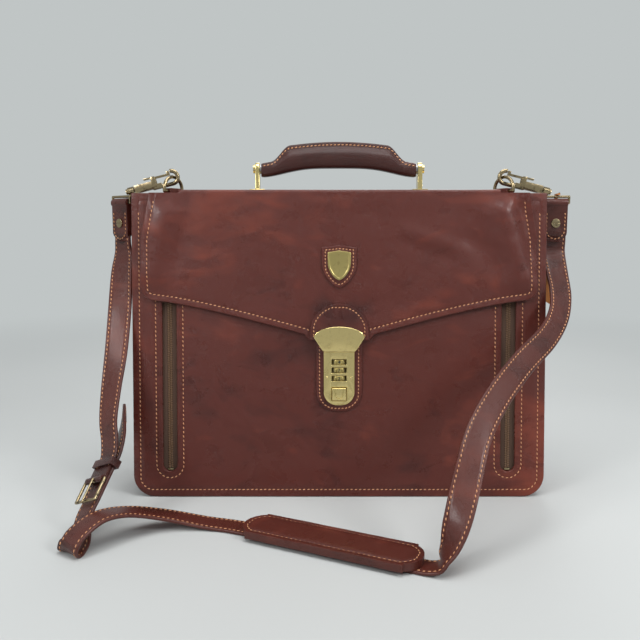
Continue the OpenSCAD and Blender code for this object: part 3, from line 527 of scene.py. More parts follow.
def rim_loops(faces: Sequence[bmesh.types.BMFace]) -> list[list[Vector]]:
    """Gives the closed lines of points around a patch of faces."""
    inside = set(faces)
    rim = [e for f in faces for e in f.edges if sum(g in inside for g in e.link_faces) == 1]
    near: dict[bmesh.types.BMVert, list[bmesh.types.BMVert]] = {}
    for edge in rim:
        a, b = edge.verts
        near.setdefault(a, []).append(b)
        near.setdefault(b, []).append(a)
    loops, seen = [], set()
    for start in near:
        if start in seen:
            continue
        line, here, last = [], start, None
        while here is not None and here not in seen:
            seen.add(here)
            line.append(here.co.copy())
            last, here = here, next((v for v in near[here] if v not in seen), None)
        loops.append(line)
    return loops


def walk(line: Sequence[Vector], pitch: float, closed: bool) -> list[tuple[Vector, Vector]]:
    """Gives evenly spaced points on a line, each with the direction that the line runs there."""
    points = list(line) + ([line[0]] if closed else [])
    spans = [(b - a).length for a, b in zip(points, points[1:])]
    total = sum(spans)
    count = max(1, round(total / pitch))
    found, k, past = [], 0, 0.0
    for step in range(count):
        goal = total * (step + 0.5) / count
        while k < len(spans) - 1 and past + spans[k] < goal:
            past += spans[k]
            k += 1
        run = points[k + 1] - points[k]
        found.append((points[k] + run * ((goal - past) / max(spans[k], 1e-9)), run.normalized()))
    return found


@dataclass
class Seam:
    """A row of stitches in one thread."""

    name: str
    body: Optional[str]
    pitch: float = 0.0040
    length: float = 0.0028
    width: float = 0.00112
    slant: float = 13.0
    places: list[Matrix] = field(default_factory=list)

    def add(self, at: Vector, run: Vector, out: Vector) -> None:
        """Adds one stitch.

        Args:
            at: Its middle, on the leather.
            run: The way the row runs.
            out: The way out of the leather.
        """
        side = out.cross(run).normalized()
        up = run.cross(side).normalized()
        turn = Matrix((run.normalized(), side, up)).transposed().to_4x4()
        lean = Matrix.Rotation(math.radians(self.slant), 4, "Z")
        size = Matrix.Diagonal((self.length, self.width, self.width * 0.8, 1))
        self.places.append(Matrix.Translation(at) @ turn @ lean @ size)

    def row(self, line: Sequence[Vector], out: Callable[[Vector], Vector], closed: bool = True,
            keep: Keep = lambda at: True) -> None:
        """Adds a stitch every pitch along a line, where it is kept."""
        for at, run in walk(line, self.pitch, closed):
            if keep(at):
                self.add(at, run, out(at))

    def build(self) -> bpy.types.Object:
        """Makes the piece: one small pill to each stitch."""
        bm = bmesh.new()
        for place in self.places:
            add_pill(bm, place)
        return piece(self.name, bm, Finish.THREAD, self.body, sharp=80)


@dataclass
class Plate:
    """A cut sheet with eased edges, a pressed stitch line and a face that gives a little.

    In its place it lies in x and z and its face looks along -y. A stitch line is inset from its rim
    where inset isn't 0, and sewn where keep says so. No pitch leaves the sheet uncut.
    """

    node: str
    place: Matrix = field(default_factory=lambda: Matrix.Identity(4))
    finish: Finish = Finish.LEATHER
    slot: str = "leather"
    edge: float = 0.0007
    inset: float = 0.0
    groove: float = 0.0003
    groove_half: float = 0.0007
    pitch: float = 0.008
    swell: Swell = lambda x, z: 0.0
    keep: Keep = lambda at: True
    shape: Optional[Callable[[BMesh], None]] = None
    stitch: float = 0.0040

    def build(self) -> list[bpy.types.Object]:
        """Makes the plate and its stitches.

        Returns:
            The plate, and its seam where it has one.
        """
        bm = cad_copy(self.node)
        bm.transform(self.place.inverted())
        bm.normal_update()
        if self.shape:
            self.shape(bm)
        lines = self.mould(bm)
        bm.transform(self.place)
        body = body_of(self.node)
        made = [piece(self.node + "_skin", bm, self.finish, body, [self.node], self.slot)]
        seam = Seam(self.node + "_seam", body, pitch=self.stitch, length=self.stitch * 0.72)
        self.sew(seam, lines)
        if seam.places:
            made.append(seam.build())
        return made

    def mould(self, bm: BMesh) -> list[list[Vector]]:
        """Presses, eases, cuts up and swells a mesh in the sheet's own place.

        Args:
            bm: The mesh.

        Returns:
            The pressed lines, as they lay before the swelling.
        """
        lines = self._press(bm) if self.inset else []
        round_edges(bm, self.edge)
        if self.pitch:
            slice_grid(bm, self.pitch)
        for vert in bm.verts:
            vert.co.y -= self.swell(vert.co.x, vert.co.z)
        return lines

    def sew(self, seam: Seam, lines: Sequence[Sequence[Vector]]) -> None:
        """Adds the stitches of the pressed lines to a seam, lifted with the swollen face."""
        out, back = outward(self.place), self.place.inverted()
        for line in lines:
            lifted = [Vector((p.x, p.y - self.swell(p.x, p.z) - THREAD_LIFT, p.z)) for p in line]
            seam.row([self.place @ p for p in lifted], lambda at: out, keep=lambda at: self.keep(back @ at))

    def _press(self, bm: BMesh) -> list[list[Vector]]:
        """Presses a groove into the outer face and gives its line."""
        low = min(v.co.y for v in bm.verts)
        face = [f for f in bm.faces if f.normal.y < -0.99 and f.calc_center_median().y < low + 0.00005]
        rim = [v.co.copy() for f in face for v in f.verts]
        lines = []
        half = self.groove_half
        for thick, depth in ((self.inset - half, 0.0), (half, -self.groove), (half, self.groove)):
            bmesh.ops.inset_region(bm, faces=face, thickness=thick, depth=depth, use_even_offset=True)
            for vert in {v for f in face for v in f.verts}:
                for axis in (0, 2):
                    least, most = min(c[axis] for c in rim), max(c[axis] for c in rim)
                    vert.co[axis] = max(least + self.inset, min(most - self.inset, vert.co[axis]))
            if depth < 0:
                lines = rim_loops(face)
        return lines


@dataclass
class Casting:
    """A small metal part with its edges eased."""

    node: str
    finish: Finish = Finish.BRASS
    edge: float = 0.0004
    segments: int = 2
    slot: str = "brass"
    frame_line: float = 0.0

    def build(self) -> bpy.types.Object:
        """Makes the part."""
        bm = cad_copy(self.node)
        if self.frame_line:
            out = outward(FRONT)
            face = [f for f in bm.faces if f.normal.dot(out) > 0.99 and f.calc_area() > 5e-5]
            bmesh.ops.inset_region(bm, faces=face, thickness=self.frame_line, use_even_offset=True)
            bmesh.ops.inset_region(bm, faces=face, thickness=0.0003, depth=-0.00035, use_even_offset=True)
        round_edges(bm, self.edge, self.segments, 30)
        return piece(self.node + "_metal", bm, self.finish, body_of(self.node), [self.node], self.slot, 50)


# ---- Shoulder strap ----

# Where each strap passes, in mm, and the way of its width there.
SHORT_STOPS = [
    ((-205, 6, 243), (0.8, -0.6, 0)), ((-205, 6, 235), (0.8, -0.6, 0)), ((-205, 6, 224), (0.85, -0.52, 0)),
    ((-204, -6, 205), (0.95, -0.3, 0)), ((-202, -22, 175), (1, -0.1, 0)),
    ((-202, -38, 138), (0.98, -0.2, 0)), ((-203, -54, 106), (0.9, -0.4, 0.1)),
    ((-201, -72, 82), (0.8, -0.5, 0.25)), ((-198, -80, 67), (0.78, -0.53, 0.3)),
    ((-196.5, -87.5, 56.5), (0.765, -0.543, 0.348)), ((-197.5, -92, 51.5), (0.765, -0.543, 0.348)),
    ((-199, -97, 47), (0.765, -0.543, 0.348)),
]
LONG_STOPS = [
    ((205, 6, 243), (1, 0, 0)), ((205, 6, 235), (1, 0, 0)), ((205, 6, 224), (1, 0, 0)),
    ((205, -6, 206), (0.98, 0.1, -0.1)), ((203, -24, 188), (0.9, 0, -0.4)),
    ((196, -42, 170), (0.75, 0, -0.66)), ((180, -62, 153), (0.62, 0, -0.78)),
    ((152, -88, 135), (0.68, -0.1, -0.73)), ((124, -118, 113), (0.8, -0.1, -0.6)),
    ((104, -142, 90), (0.92, -0.1, -0.4)), ((92, -162, 63), (0.97, -0.2, -0.2)),
    ((82, -178, 36), (0.8, -0.6, -0.1)), ((73, -185, 14), (0.2, -0.98, 0)),
    ((60, -181, 1.6), (-0.43, -0.9, 0)), ((-10, -147, 1.6), (-0.437, -0.9, 0)),
    ((-80, -113, 1.6), (-0.43, -0.9, 0)), ((-112, -105, 3), (-0.1, -1, 0)),
    ((-146, -108, 11), (0.2, -0.98, 0)), ((-172, -123, 20), (0.5, -0.87, 0)),
    ((-189, -140, 23), (0.72, -0.7, 0)), ((-201, -155, 17), (0.8, -0.6, 0)),
    ((-206, -161, 9), (0.8, -0.6, 0)), ((-207, -156, 2.4), (0.8, -0.6, 0)),
    ((-206, -145, 3), (0.8, -0.6, 0)), ((-206, -135, 9), (0.8, -0.58, 0.15)),
    ((-206, -126, 18), (0.765, -0.543, 0.348)), ((-203, -116, 27), (0.765, -0.543, 0.348)),
    ((-200, -106, 36), (0.765, -0.543, 0.348)), ((-197, -96, 45), (0.765, -0.543, 0.348)),
    ((-194, -86, 54), (0.765, -0.543, 0.348)), ((-193, -70, 64), (0.6, -0.5, 0.6)),
    ((-195, -52, 72), (0.3, -0.4, 0.85)), ((-197, -36, 78), (0.1, -0.4, 0.9)),
]
Stop = tuple[tuple[float, float, float], tuple[float, float, float]]


@dataclass
class StrapRun:
    """One length of the shoulder strap, from its sewn end to its free end."""

    name: str
    node: str
    stops: Sequence[Stop]
    width: float = 0.022
    thick: float = 0.0028
    low: float = 0.0016
    steps: int = 8
    seam_in: float = 0.0026

    def route(self) -> list[tuple[Vector, Vector]]:
        """Gives the middle line and the way of the width along it."""
        found = []
        last = len(self.stops) - 1
        for k in range(last):
            four = [self.stops[max(0, min(last, j))] for j in (k - 1, k, k + 1, k + 2)]
            for j in range(self.steps):
                at, wide = (self._smooth([Vector(f[part]) for f in four], j / self.steps) for part in (0, 1))
                found.append((at, wide))
        found.append((Vector(self.stops[last][0]), Vector(self.stops[last][1])))
        return [(Vector((p.x * MM, p.y * MM, max(p.z * MM, self.low))), w) for p, w in found]

    @staticmethod
    def _smooth(p: Sequence[Vector], t: float) -> Vector:
        """Gives a point on the smooth curve through four points, from the second to the third."""
        a, b, c, d = p
        square, cube = 2 * a - 5 * b + 4 * c - d, 3 * b - a - 3 * c + d
        return 0.5 * (2 * b + (c - a) * t + square * t * t + cube * t * t * t)

    def rings(self) -> list[tuple[Vector, Vector, Vector]]:
        """Gives the middle, the side and the outward way at each station."""
        line = self.route()
        found = []
        for k, (at, wide) in enumerate(line):
            run = (line[min(k + 1, len(line) - 1)][0] - line[max(k - 1, 0)][0]).normalized()
            side = (wide - run * wide.dot(run)).normalized()
            found.append((at, side, side.cross(run)))
        return found

    def section(self) -> list[tuple[float, float]]:
        """Gives the strap's section: a rounded band with a pressed line inside each edge."""
        half, t = self.width / 2, self.thick / 2
        seam = half - self.seam_in
        top = [
            (half, 0.0), (half - 0.00015, t * 0.55), (half - 0.0006, t * 0.88), (half - 0.0013, t),
            (seam + 0.0006, t), (seam, t - 0.0003), (seam - 0.0006, t), (seam - 0.0022, t + 0.00012),
            (0.0, t + 0.00022),
        ]
        upper = top + [(-x, y) for x, y in reversed(top[:-1])]
        return upper + [(x, -y) for x, y in reversed(upper[1:-1])]

    def build(self) -> bpy.types.Object:
        rings, section = self.rings(), self.section()
        last, turn = len(rings) - 1, len(section)

        def place(u: float, v: float) -> Vector:
            """Gives a point of the skin; the first and last rows close the ends."""
            row = round(v * (last + 2))
            at, side, out = rings[max(0, min(last, row - 1))]
            if row in (0, last + 2):
                return at.copy()
            x, y = section[round(u * turn) % turn]
            return at + side * x + out * y

        bm = surface(turn, last + 2, place)
        made = piece(self.name, bm, Finish.STRAP, "case", [self.node], "leather", 60)
        line = [r[0] for r in rings]
        length = sum((b - a).length for a, b in zip(line, line[1:]))
        seams = [self._seam(rings, face, edge) for face in (1, -1) for edge in (1, -1)]
        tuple(line[0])
        LOG.info("%s is %.3f m long", self.name, length)
        return made

    def _seam(self, rings: Sequence[tuple[Vector, Vector, Vector]], face: int, edge: int) -> bpy.types.Object:
        """Makes one row of stitches, on one face and beside one edge."""
        face_word, edge_word = "outer" if face > 0 else "inner", "right" if edge > 0 else "left"
        seam = Seam(f"{self.name}_seam_{face_word}_{edge_word}", "case")
        off = edge * (self.width / 2 - self.seam_in)
        rise = face * (self.thick / 2 - 0.00010)
        line = [at + side * off + out * rise for at, side, out in rings]

        def nearest(point: Vector) -> Vector:
            """Gives the outward way at the nearest station."""
            return face * min(zip(line, rings), key=lambda pair: (pair[0] - point).length_squared)[1][2]

        seam.row(line, nearest, closed=False)
        return seam.build()


# ---- Leather of the case ----

HALF_WIDTH = 0.190
ZIP_X = 0.156
# The flap's creases: the x and z where each starts and ends, its half width and its height.
EAR_CREASES = [
    ((0.148, 0.262), (0.166, 0.204), 0.0140, 0.0054), ((0.166, 0.266), (0.181, 0.208), 0.0070, -0.0042),
    ((0.120, 0.238), (0.146, 0.214), 0.010, -0.0016), ((-0.158, 0.260), (-0.170, 0.208), 0.012, 0.0036),
    ((-0.140, 0.250), (-0.150, 0.218), 0.009, -0.0012),
]
SMALL_CREASES = [
    ((0.060, 0.246), (0.112, 0.228), 0.006, 0.0010), ((0.055, 0.236), (0.10, 0.219), 0.005, -0.0007),
]
HASP_LOW, HASP_HIGH, HASP_HALF = 0.1355, 0.031, 0.0233


def ridge(x: float, z: float, a: tuple[float, float], b: tuple[float, float], wide: float,
          high: float) -> float:
    """Gives the height of a soft ridge, or a dip, along a line from a to b, all in metres."""
    run = Vector(b) - Vector(a)
    t = max(0.0, min(1.0, (Vector((x, z)) - Vector(a)).dot(run) / run.length_squared))
    far = (Vector((x, z)) - Vector(a) - run * t).length
    return high * math.exp(-((far / wide) ** 2))


def ripple(x: float, z: float, scale: float, seed: float) -> float:
    """Gives a slow random height from about -1 to 1."""
    return noise.noise(Vector((x * scale, seed, z * scale)))


def panel_swell(x: float, z: float) -> float:
    """How far the front leather stands out: soft waves below the flap, flat at the lock and zips."""
    lock, zips = ease(0.030, 0.055, abs(x)), ease(0.006, 0.022, abs(abs(x) - ZIP_X))
    calm = lock * zips + (1 - ease(0.02, 0.06, z)) * 0.3
    low = 1 - ease(0.145, 0.185, z)
    edge = ease(0.0, 0.02, HALF_WIDTH - abs(x)) * ease(0.0, 0.02, z)
    waves = 0.0009 * ripple(x, z, 14, 1.7) + 0.0005 * ripple(x, z, 34, 5.1) + 0.0005
    return min(calm, 1.0) * edge * (low * waves)


def back_swell(x: float, z: float) -> float:
    """How far the back leather stands out."""
    edge = ease(0.0, 0.03, HALF_WIDTH - abs(x)) * ease(0.0, 0.03, z) * ease(0.0, 0.03, 0.28 - z)
    return edge * (0.0010 * ripple(x, z, 12, 9.3) + 0.0005 * ripple(x, z, 30, 2.2) + 0.0008)


def flap_swell(x: float, z: float) -> float:
    """How far the flap stands out: a crumpled ear at its right shoulder, a softer left one, small waves."""
    beside = ease(0.036, 0.06, abs(x))
    calm = beside * ease(0.136, 0.162, z) + ease(0.005, 0.03, z - 0.237) * (1 - beside)
    calm = max(0.0, min(1.0, calm))
    top = 1 - ease(0.262, 0.279, z)
    waves = 0.0009 * ripple(x, z, 13, 3.4) + 0.0006 * ripple(x, z, 32, 7.7)
    ear = sum(ridge(x, z, *crease) for crease in EAR_CREASES)
    small = sum(ridge(x, z, *crease) for crease in SMALL_CREASES)
    return calm * (top * (waves + small) + ear * (0.25 + 0.75 * top) + 0.0005)


def hasp_crown(x: float, z: float) -> float:
    """How far the hasp's face stands out: a shallow dome between its lower edge and its arch."""
    up = max(0.0, math.sin(math.pi * (z - HASP_LOW) / HASP_HIGH))
    return 0.0013 * up ** 0.8 * max(0.0, 1 - (x / HASP_HALF) ** 2)


@dataclass
class CaseBody:
    """The bag: front, back, the folded side and base band, the wings at its top, and what is inside."""

    panel: float = 0.003
    wall: float = 0.0025
    corner: float = 0.020
    top: float = 0.2792
    side_sag: float = 0.0024
    seam_in: float = 0.0042
    seam_share: float = 0.36
    wing_x: tuple[float, float] = (0.148, 0.1887)
    wing_half: tuple[float, float] = (0.01235, 0.00125)
    wing_z: float = 0.27795

    def build(self) -> None:
        """Makes every leather part of the body."""
        Plate("front_panel", FRONT, inset=0.006, swell=panel_swell, pitch=0.006, edge=0.0009,
              keep=lambda at: at.z < 0.020 or abs(at.x) > 0.020 and at.z < 0.264).build()
        Plate("back_panel", BACK, inset=0.006, swell=back_swell, pitch=0.009, edge=0.0009,
              keep=lambda at: at.z < 0.272).build()
        self._band()
        for side, word in ((-1, "left"), (1, "right")):
            self._wing(side, word)
        self._lining()

    def _edge_y(self, z: float, front: bool) -> float:
        """Gives where the band meets the inside of the front or back leather at a height."""
        if front:
            return -HALF_DEPTH + self.panel / math.cos(FRONT_LEAN) + z * math.tan(FRONT_LEAN)
        return HALF_DEPTH - self.panel / math.cos(BACK_LEAN) - z * math.tan(BACK_LEAN)

    def _path(self, share: float, off: float) -> tuple[float, float]:
        """Gives a point on the U that the band follows, off inwards from its outside."""
        half, r = HALF_WIDTH - off, self.corner - off
        tall = self.top - self.corner
        arc = math.pi / 2 * self.corner
        flat = 2 * HALF_WIDTH - 2 * self.corner
        at = share * (2 * tall + 2 * arc + flat)
        if at <= tall:
            return -half, self.top - at
        if at <= tall + arc:
            t = (at - tall) / self.corner
            return -half + r - r * math.cos(t), off + r - r * math.sin(t)
        if at <= tall + arc + flat:
            return -flat / 2 + at - tall - arc, off
        if at <= tall + 2 * arc + flat:
            t = (at - tall - arc - flat) / self.corner
            return half - r + r * math.sin(t), off + r - r * math.cos(t)
        return half, self.corner + at - tall - 2 * arc - flat

    def _band(self) -> None:
        """Makes the one long strip of leather that is both sides and the base."""
        across = 18

        def place(u: float, v: float) -> Vector:
            """Gives a point of the closed strip: its outside, then back along its inside."""
            inner, s = there_and_back(v)
            x, z = self._path(u, self.wall if inner else 0.0)
            _, z_out = self._path(u, 0.0)
            front, back = self._edge_y(z, True) + 0.0001, self._edge_y(z, False) - 0.0001
            y = front + (back - front) * s
            high = ease(0.02, 0.09, z_out)
            dip = self.side_sag * high * math.sin(math.pi * s) ** 1.5 * (0.8 + 0.3 * ripple(y, z, 20, 4.0))
            pleat = 0.0011 * high * math.exp(-(((s - 0.5) / 0.07) ** 2))
            return Vector((x - math.copysign(dip + pleat, x), y, z))

        bm = surface(200, 2 * across, place)
        stands_for = ["gusset_left", "gusset_right", "base_panel"]
        piece("side_band", bm, Finish.LEATHER, "case", stands_for, "leather")
        seam = Seam("side_band_seam", "case")
        for front in (True, False):
            for right in (False, True):
                line = []
                for j in range(121):
                    share = j / 120 * self.seam_share
                    x, z = self._path(1 - share if right else share, -0.0001)
                    y = self._edge_y(z, front) + (self.seam_in if front else -self.seam_in)
                    line.append(Vector((x, y, z)))
                seam.row(line, lambda at: Vector((math.copysign(1, at.x), 0, 0)), closed=False,
                         keep=lambda at: at.z > 0.004)
        seam.build()

    def _wing(self, side: int, word: str) -> None:
        """Makes the flat fold of leather at the top of one side, which the ring's tab is sewn to."""
        low, high = self.wing_x

        def place(u: float, v: float) -> Vector:
            """Gives a point of a thin slab with round edges and a slight hollow."""
            a = 2 * math.pi * v
            c, s = math.cos(a), math.sin(a)
            y = math.copysign(abs(c) ** 0.35, c)
            z = math.copysign(abs(s) ** 0.6, s)
            x = low + (high - low) * u
            end = min(1.0, 30 * min(u, 1 - u) + 0.55)
            sag = 0.0007 * math.sin(math.pi * u)
            return Vector((side * x, 0.00565 + y * self.wing_half[0],
                           self.wing_z - sag + z * self.wing_half[1] * end))

        bm = surface(24, 32, place, capped=True)
        piece(f"top_wing_{word}", bm, Finish.LEATHER, "case", [], "leather")
        seam = Seam(f"top_wing_seam_{word}", "case")
        for y in (-0.0042, 0.0155):
            line = [Vector((side * (0.150 + 0.036 * k / 20), y, 0.27905)) for k in range(21)]
            seam.row(line, lambda at: Vector((0, 0, 1)), closed=False)
        seam.build()

    def _lining(self) -> None:
        """Makes the divider, the slip pocket, the lock's backing and the zipped pockets' cloth."""

        def narrow(bm: BMesh) -> None:
            """Draws the sheet in from the sagging sides."""
            bmesh.ops.scale(bm, vec=(0.984, 1, 1), verts=bm.verts)

        def wave(x: float, z: float) -> float:
            """A slow wave of a loose sheet."""
            return 0.0007 * ripple(x, z, 11, 6.0)

        Plate("divider", finish=Finish.LINING, slot="lining", swell=wave, pitch=0.012, edge=0.0005,
              inset=0.005, shape=narrow, keep=lambda at: at.z > 0.24).build()
        Plate("slip_pocket", finish=Finish.LINING, slot="lining", pitch=0.014, edge=0.0004).build()
        Plate("lock_backing", FRONT, Finish.LINING, "lining", 0.0004, 0.004, keep=lambda at: False).build()
        for word in ("left", "right"):
            Plate(f"pocket_bag_{word}", FRONT, Finish.CLOTH, "cloth", 0.0006, pitch=0.010).build()


@dataclass
class Zip:
    """One zipped front pocket: its tape, the two rows of its coil, its slider and pull."""

    side: int
    low: float = 0.027
    length: float = 0.216
    pitch: float = 0.00165
    row_x: float = 0.00105
    depth: float = 0.00242
    tooth: tuple[float, float, float] = (0.0026, 0.00110, 0.00125)
    stop: tuple[float, float, float] = (0.0052, 0.0016, 0.0020)

    def build(self) -> None:
        """Makes the zip."""
        word = "left" if self.side < 0 else "right"
        Plate(f"zip_tape_{word}", FRONT, Finish.TAPE, "tape", 0.0002, pitch=0).build()
        bm = bmesh.new()
        for k in range(int(self.length / self.pitch)):
            for half in (-1, 1):
                z = self.low + self.pitch * (k + 0.5 + 0.25 * half)
                at = (self.side * ZIP_X + half * self.row_x, self.depth, z)
                lean = Matrix.Rotation(math.radians(8 * half), 4, "Y")
                add_pill(bm, FRONT @ Matrix.Translation(at) @ lean @ sized((0, 0, 0), self.tooth))
        piece(f"zip_coil_{word}_teeth", bm, Finish.COIL, "case", [f"zip_coil_{word}"], "coil", 80)
        self._stops(word)
        for part in ("slider", "pull"):
            Casting(f"zip_{part}_{word}", Finish.ANTIQUE, 0.00022, 2, "antique_brass").build()

    def _stops(self, word: str) -> None:
        """Makes the bar at each end of the coil."""
        bm = bmesh.new()
        for z in (self.low - 0.0012, self.low + self.length + 0.0012):
            bmesh.ops.create_cube(bm, size=1, matrix=FRONT @ sized((self.side * ZIP_X, 0.0024, z), self.stop))
        round_edges(bm, 0.0004, 2)
        piece(f"zip_stops_{word}", bm, Finish.ANTIQUE, "case", [], "antique_brass")


@dataclass
class Flap:
    """The flap: one hide over the top and down the front, its patches, its hasp and its emblem."""

    top: float = 0.2792
    half_top: float = 0.1458
    bend: float = 0.0030
    length: float = 0.0459
    shoulder: float = 0.27
    reach: float = 0.302
    taper: tuple[float, float] = (8.5, 46)
    hinge: tuple[float, float] = (0.0262, 0.2787)
    hinge_r: tuple[float, float] = (0.0034, 0.0024)

    def build(self) -> None:
        """Makes the flap."""
        bm = cad_copy("flap_front")
        bm.transform(FRONT.inverted())
        for vert in bm.verts:
            if vert.co.z > self.shoulder:
                grown = self.reach - vert.co.z
                vert.co.z = self.reach
                vert.co.x -= math.copysign(grown * self.taper[0] / self.taper[1], vert.co.x)
        front = Plate("flap_front", FRONT, edge=0.0009, inset=0.0055, pitch=0.0034, swell=flap_swell,
                      keep=lambda at: at.z < 0.272 and not (abs(at.x) < 0.0255 and at.z < 0.16))
        lines = front.mould(bm)
        bm.transform(FRONT)
        self._over(bm)
        made = piece("flap_hide", bm, Finish.LEATHER, None, ["flap_front", "flap_top"], "leather")
        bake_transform(made)
        seam = Seam("flap_hide_seam", "flap_face")
        front.sew(seam, [self._fine(line) for line in lines])
        seam.build()
        self._hinge()
        Plate("hasp_patch", FRONT, inset=0.0028, pitch=0.006, edge=0.0005, stitch=0.0033,
              keep=lambda at: at.z > 0.1475).build()
        Plate("emblem_patch", FRONT, inset=0.0026, pitch=0.006, edge=0.0005, stitch=0.0031).build()
        Plate("hasp", FRONT, Finish.BRASS, "brass", 0.0006, pitch=0.0026, swell=hasp_crown).build()
        Casting("emblem_shield", Finish.DIAL, 0.0004, frame_line=0.0016).build()

    def _over(self, bm: BMesh) -> None:
        """Cuts the front off at the fold and carries the hide over it and back across the top."""
        cut(bm, (0, 0, self.top), (0, 0, 1), clear=True)
        rim = [e for e in bm.edges if e.is_boundary]
        bmesh.ops.contextual_create(bm, geom=rim)
        for side in (-1, 1):
            cut(bm, (side * self.half_top, 0, 0), (1, 0, 0))
        ends = [f for f in bm.faces if f.normal.z > 0.9 and abs(f.calc_center_median().z - self.top) < 1e-5
                and abs(f.calc_center_median().x) < self.half_top]
        outer = min(v.co.y for f in ends for v in f.verts)
        geom = ends + list({e for f in ends for e in f.edges}) + list({v for f in ends for v in f.verts})
        spun = bmesh.ops.spin(bm, geom=geom, cent=(0, outer + self.bend, self.top), axis=(1, 0, 0),
                              angle=-math.pi / 2, steps=7, use_merge=False, use_normal_flip=False,
                              use_duplicate=False)
        last, steps = spun["geom_last"], 6
        for _ in range(steps):
            faces = [g for g in last if isinstance(g, bmesh.types.BMFace)]
            last = bmesh.ops.extrude_face_region(bm, geom=faces)["geom"]
            bmesh.ops.translate(bm, vec=(0, (self.length - 0.0001) / steps, -0.00003),
                                verts=[g for g in last if isinstance(g, bmesh.types.BMVert)])
        bmesh.ops.remove_doubles(bm, verts=bm.verts, dist=1e-6)
        bm.normal_update()
        inner = [f for f in bm.faces if self._is_inner(f, outer + self.bend)]
        bmesh.ops.delete(bm, geom=inner, context="FACES_ONLY")
        bmesh.ops.recalc_face_normals(bm, faces=bm.faces)

    def _is_inner(self, face: bmesh.types.BMFace, axis_y: float) -> bool:
        """Tells a wall left inside the bend or the top from the hide's own skin."""
        if not any(len(e.link_faces) > 2 for e in face.edges):
            return False
        at = face.calc_center_median()
        away = Vector((0, at.y - axis_y, at.z - self.top)) if at.y < axis_y else Vector((0, 0, 1))
        return abs(face.normal.dot(away.normalized())) < 0.4 and abs(face.normal.x) < 0.4

    @staticmethod
    def _fine(line: Sequence[Vector]) -> list[Vector]:
        """Adds points along a line's long runs, so that it follows the waves."""
        found = []
        for a, b in zip(line, list(line[1:]) + [line[0]]):
            count = max(1, int((b - a).length / 0.003))
            found += [a.lerp(b, k / count) for k in range(count)]
        return found

    def _hinge(self) -> None:
        """Makes the roll of leather that joins the flap's top to the back."""

        def place(u: float, v: float) -> Vector:
            """Gives a point of a strip bent round the case's back edge, closed at its rims."""
            inner, s = there_and_back(v)
            x = (u * 2 - 1) * self.half_top
            a = math.radians(-12 + 118 * s)
            r = self.hinge_r[inner]
            return Vector((x, self.hinge[0] + r * math.sin(a), self.hinge[1] + r * math.cos(a)))

        bm = surface(60, 24, place, capped=True)
        made = piece("back_hinge", bm, Finish.LEATHER, None, [], "leather")
        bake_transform(made)


# ---- Lock ----


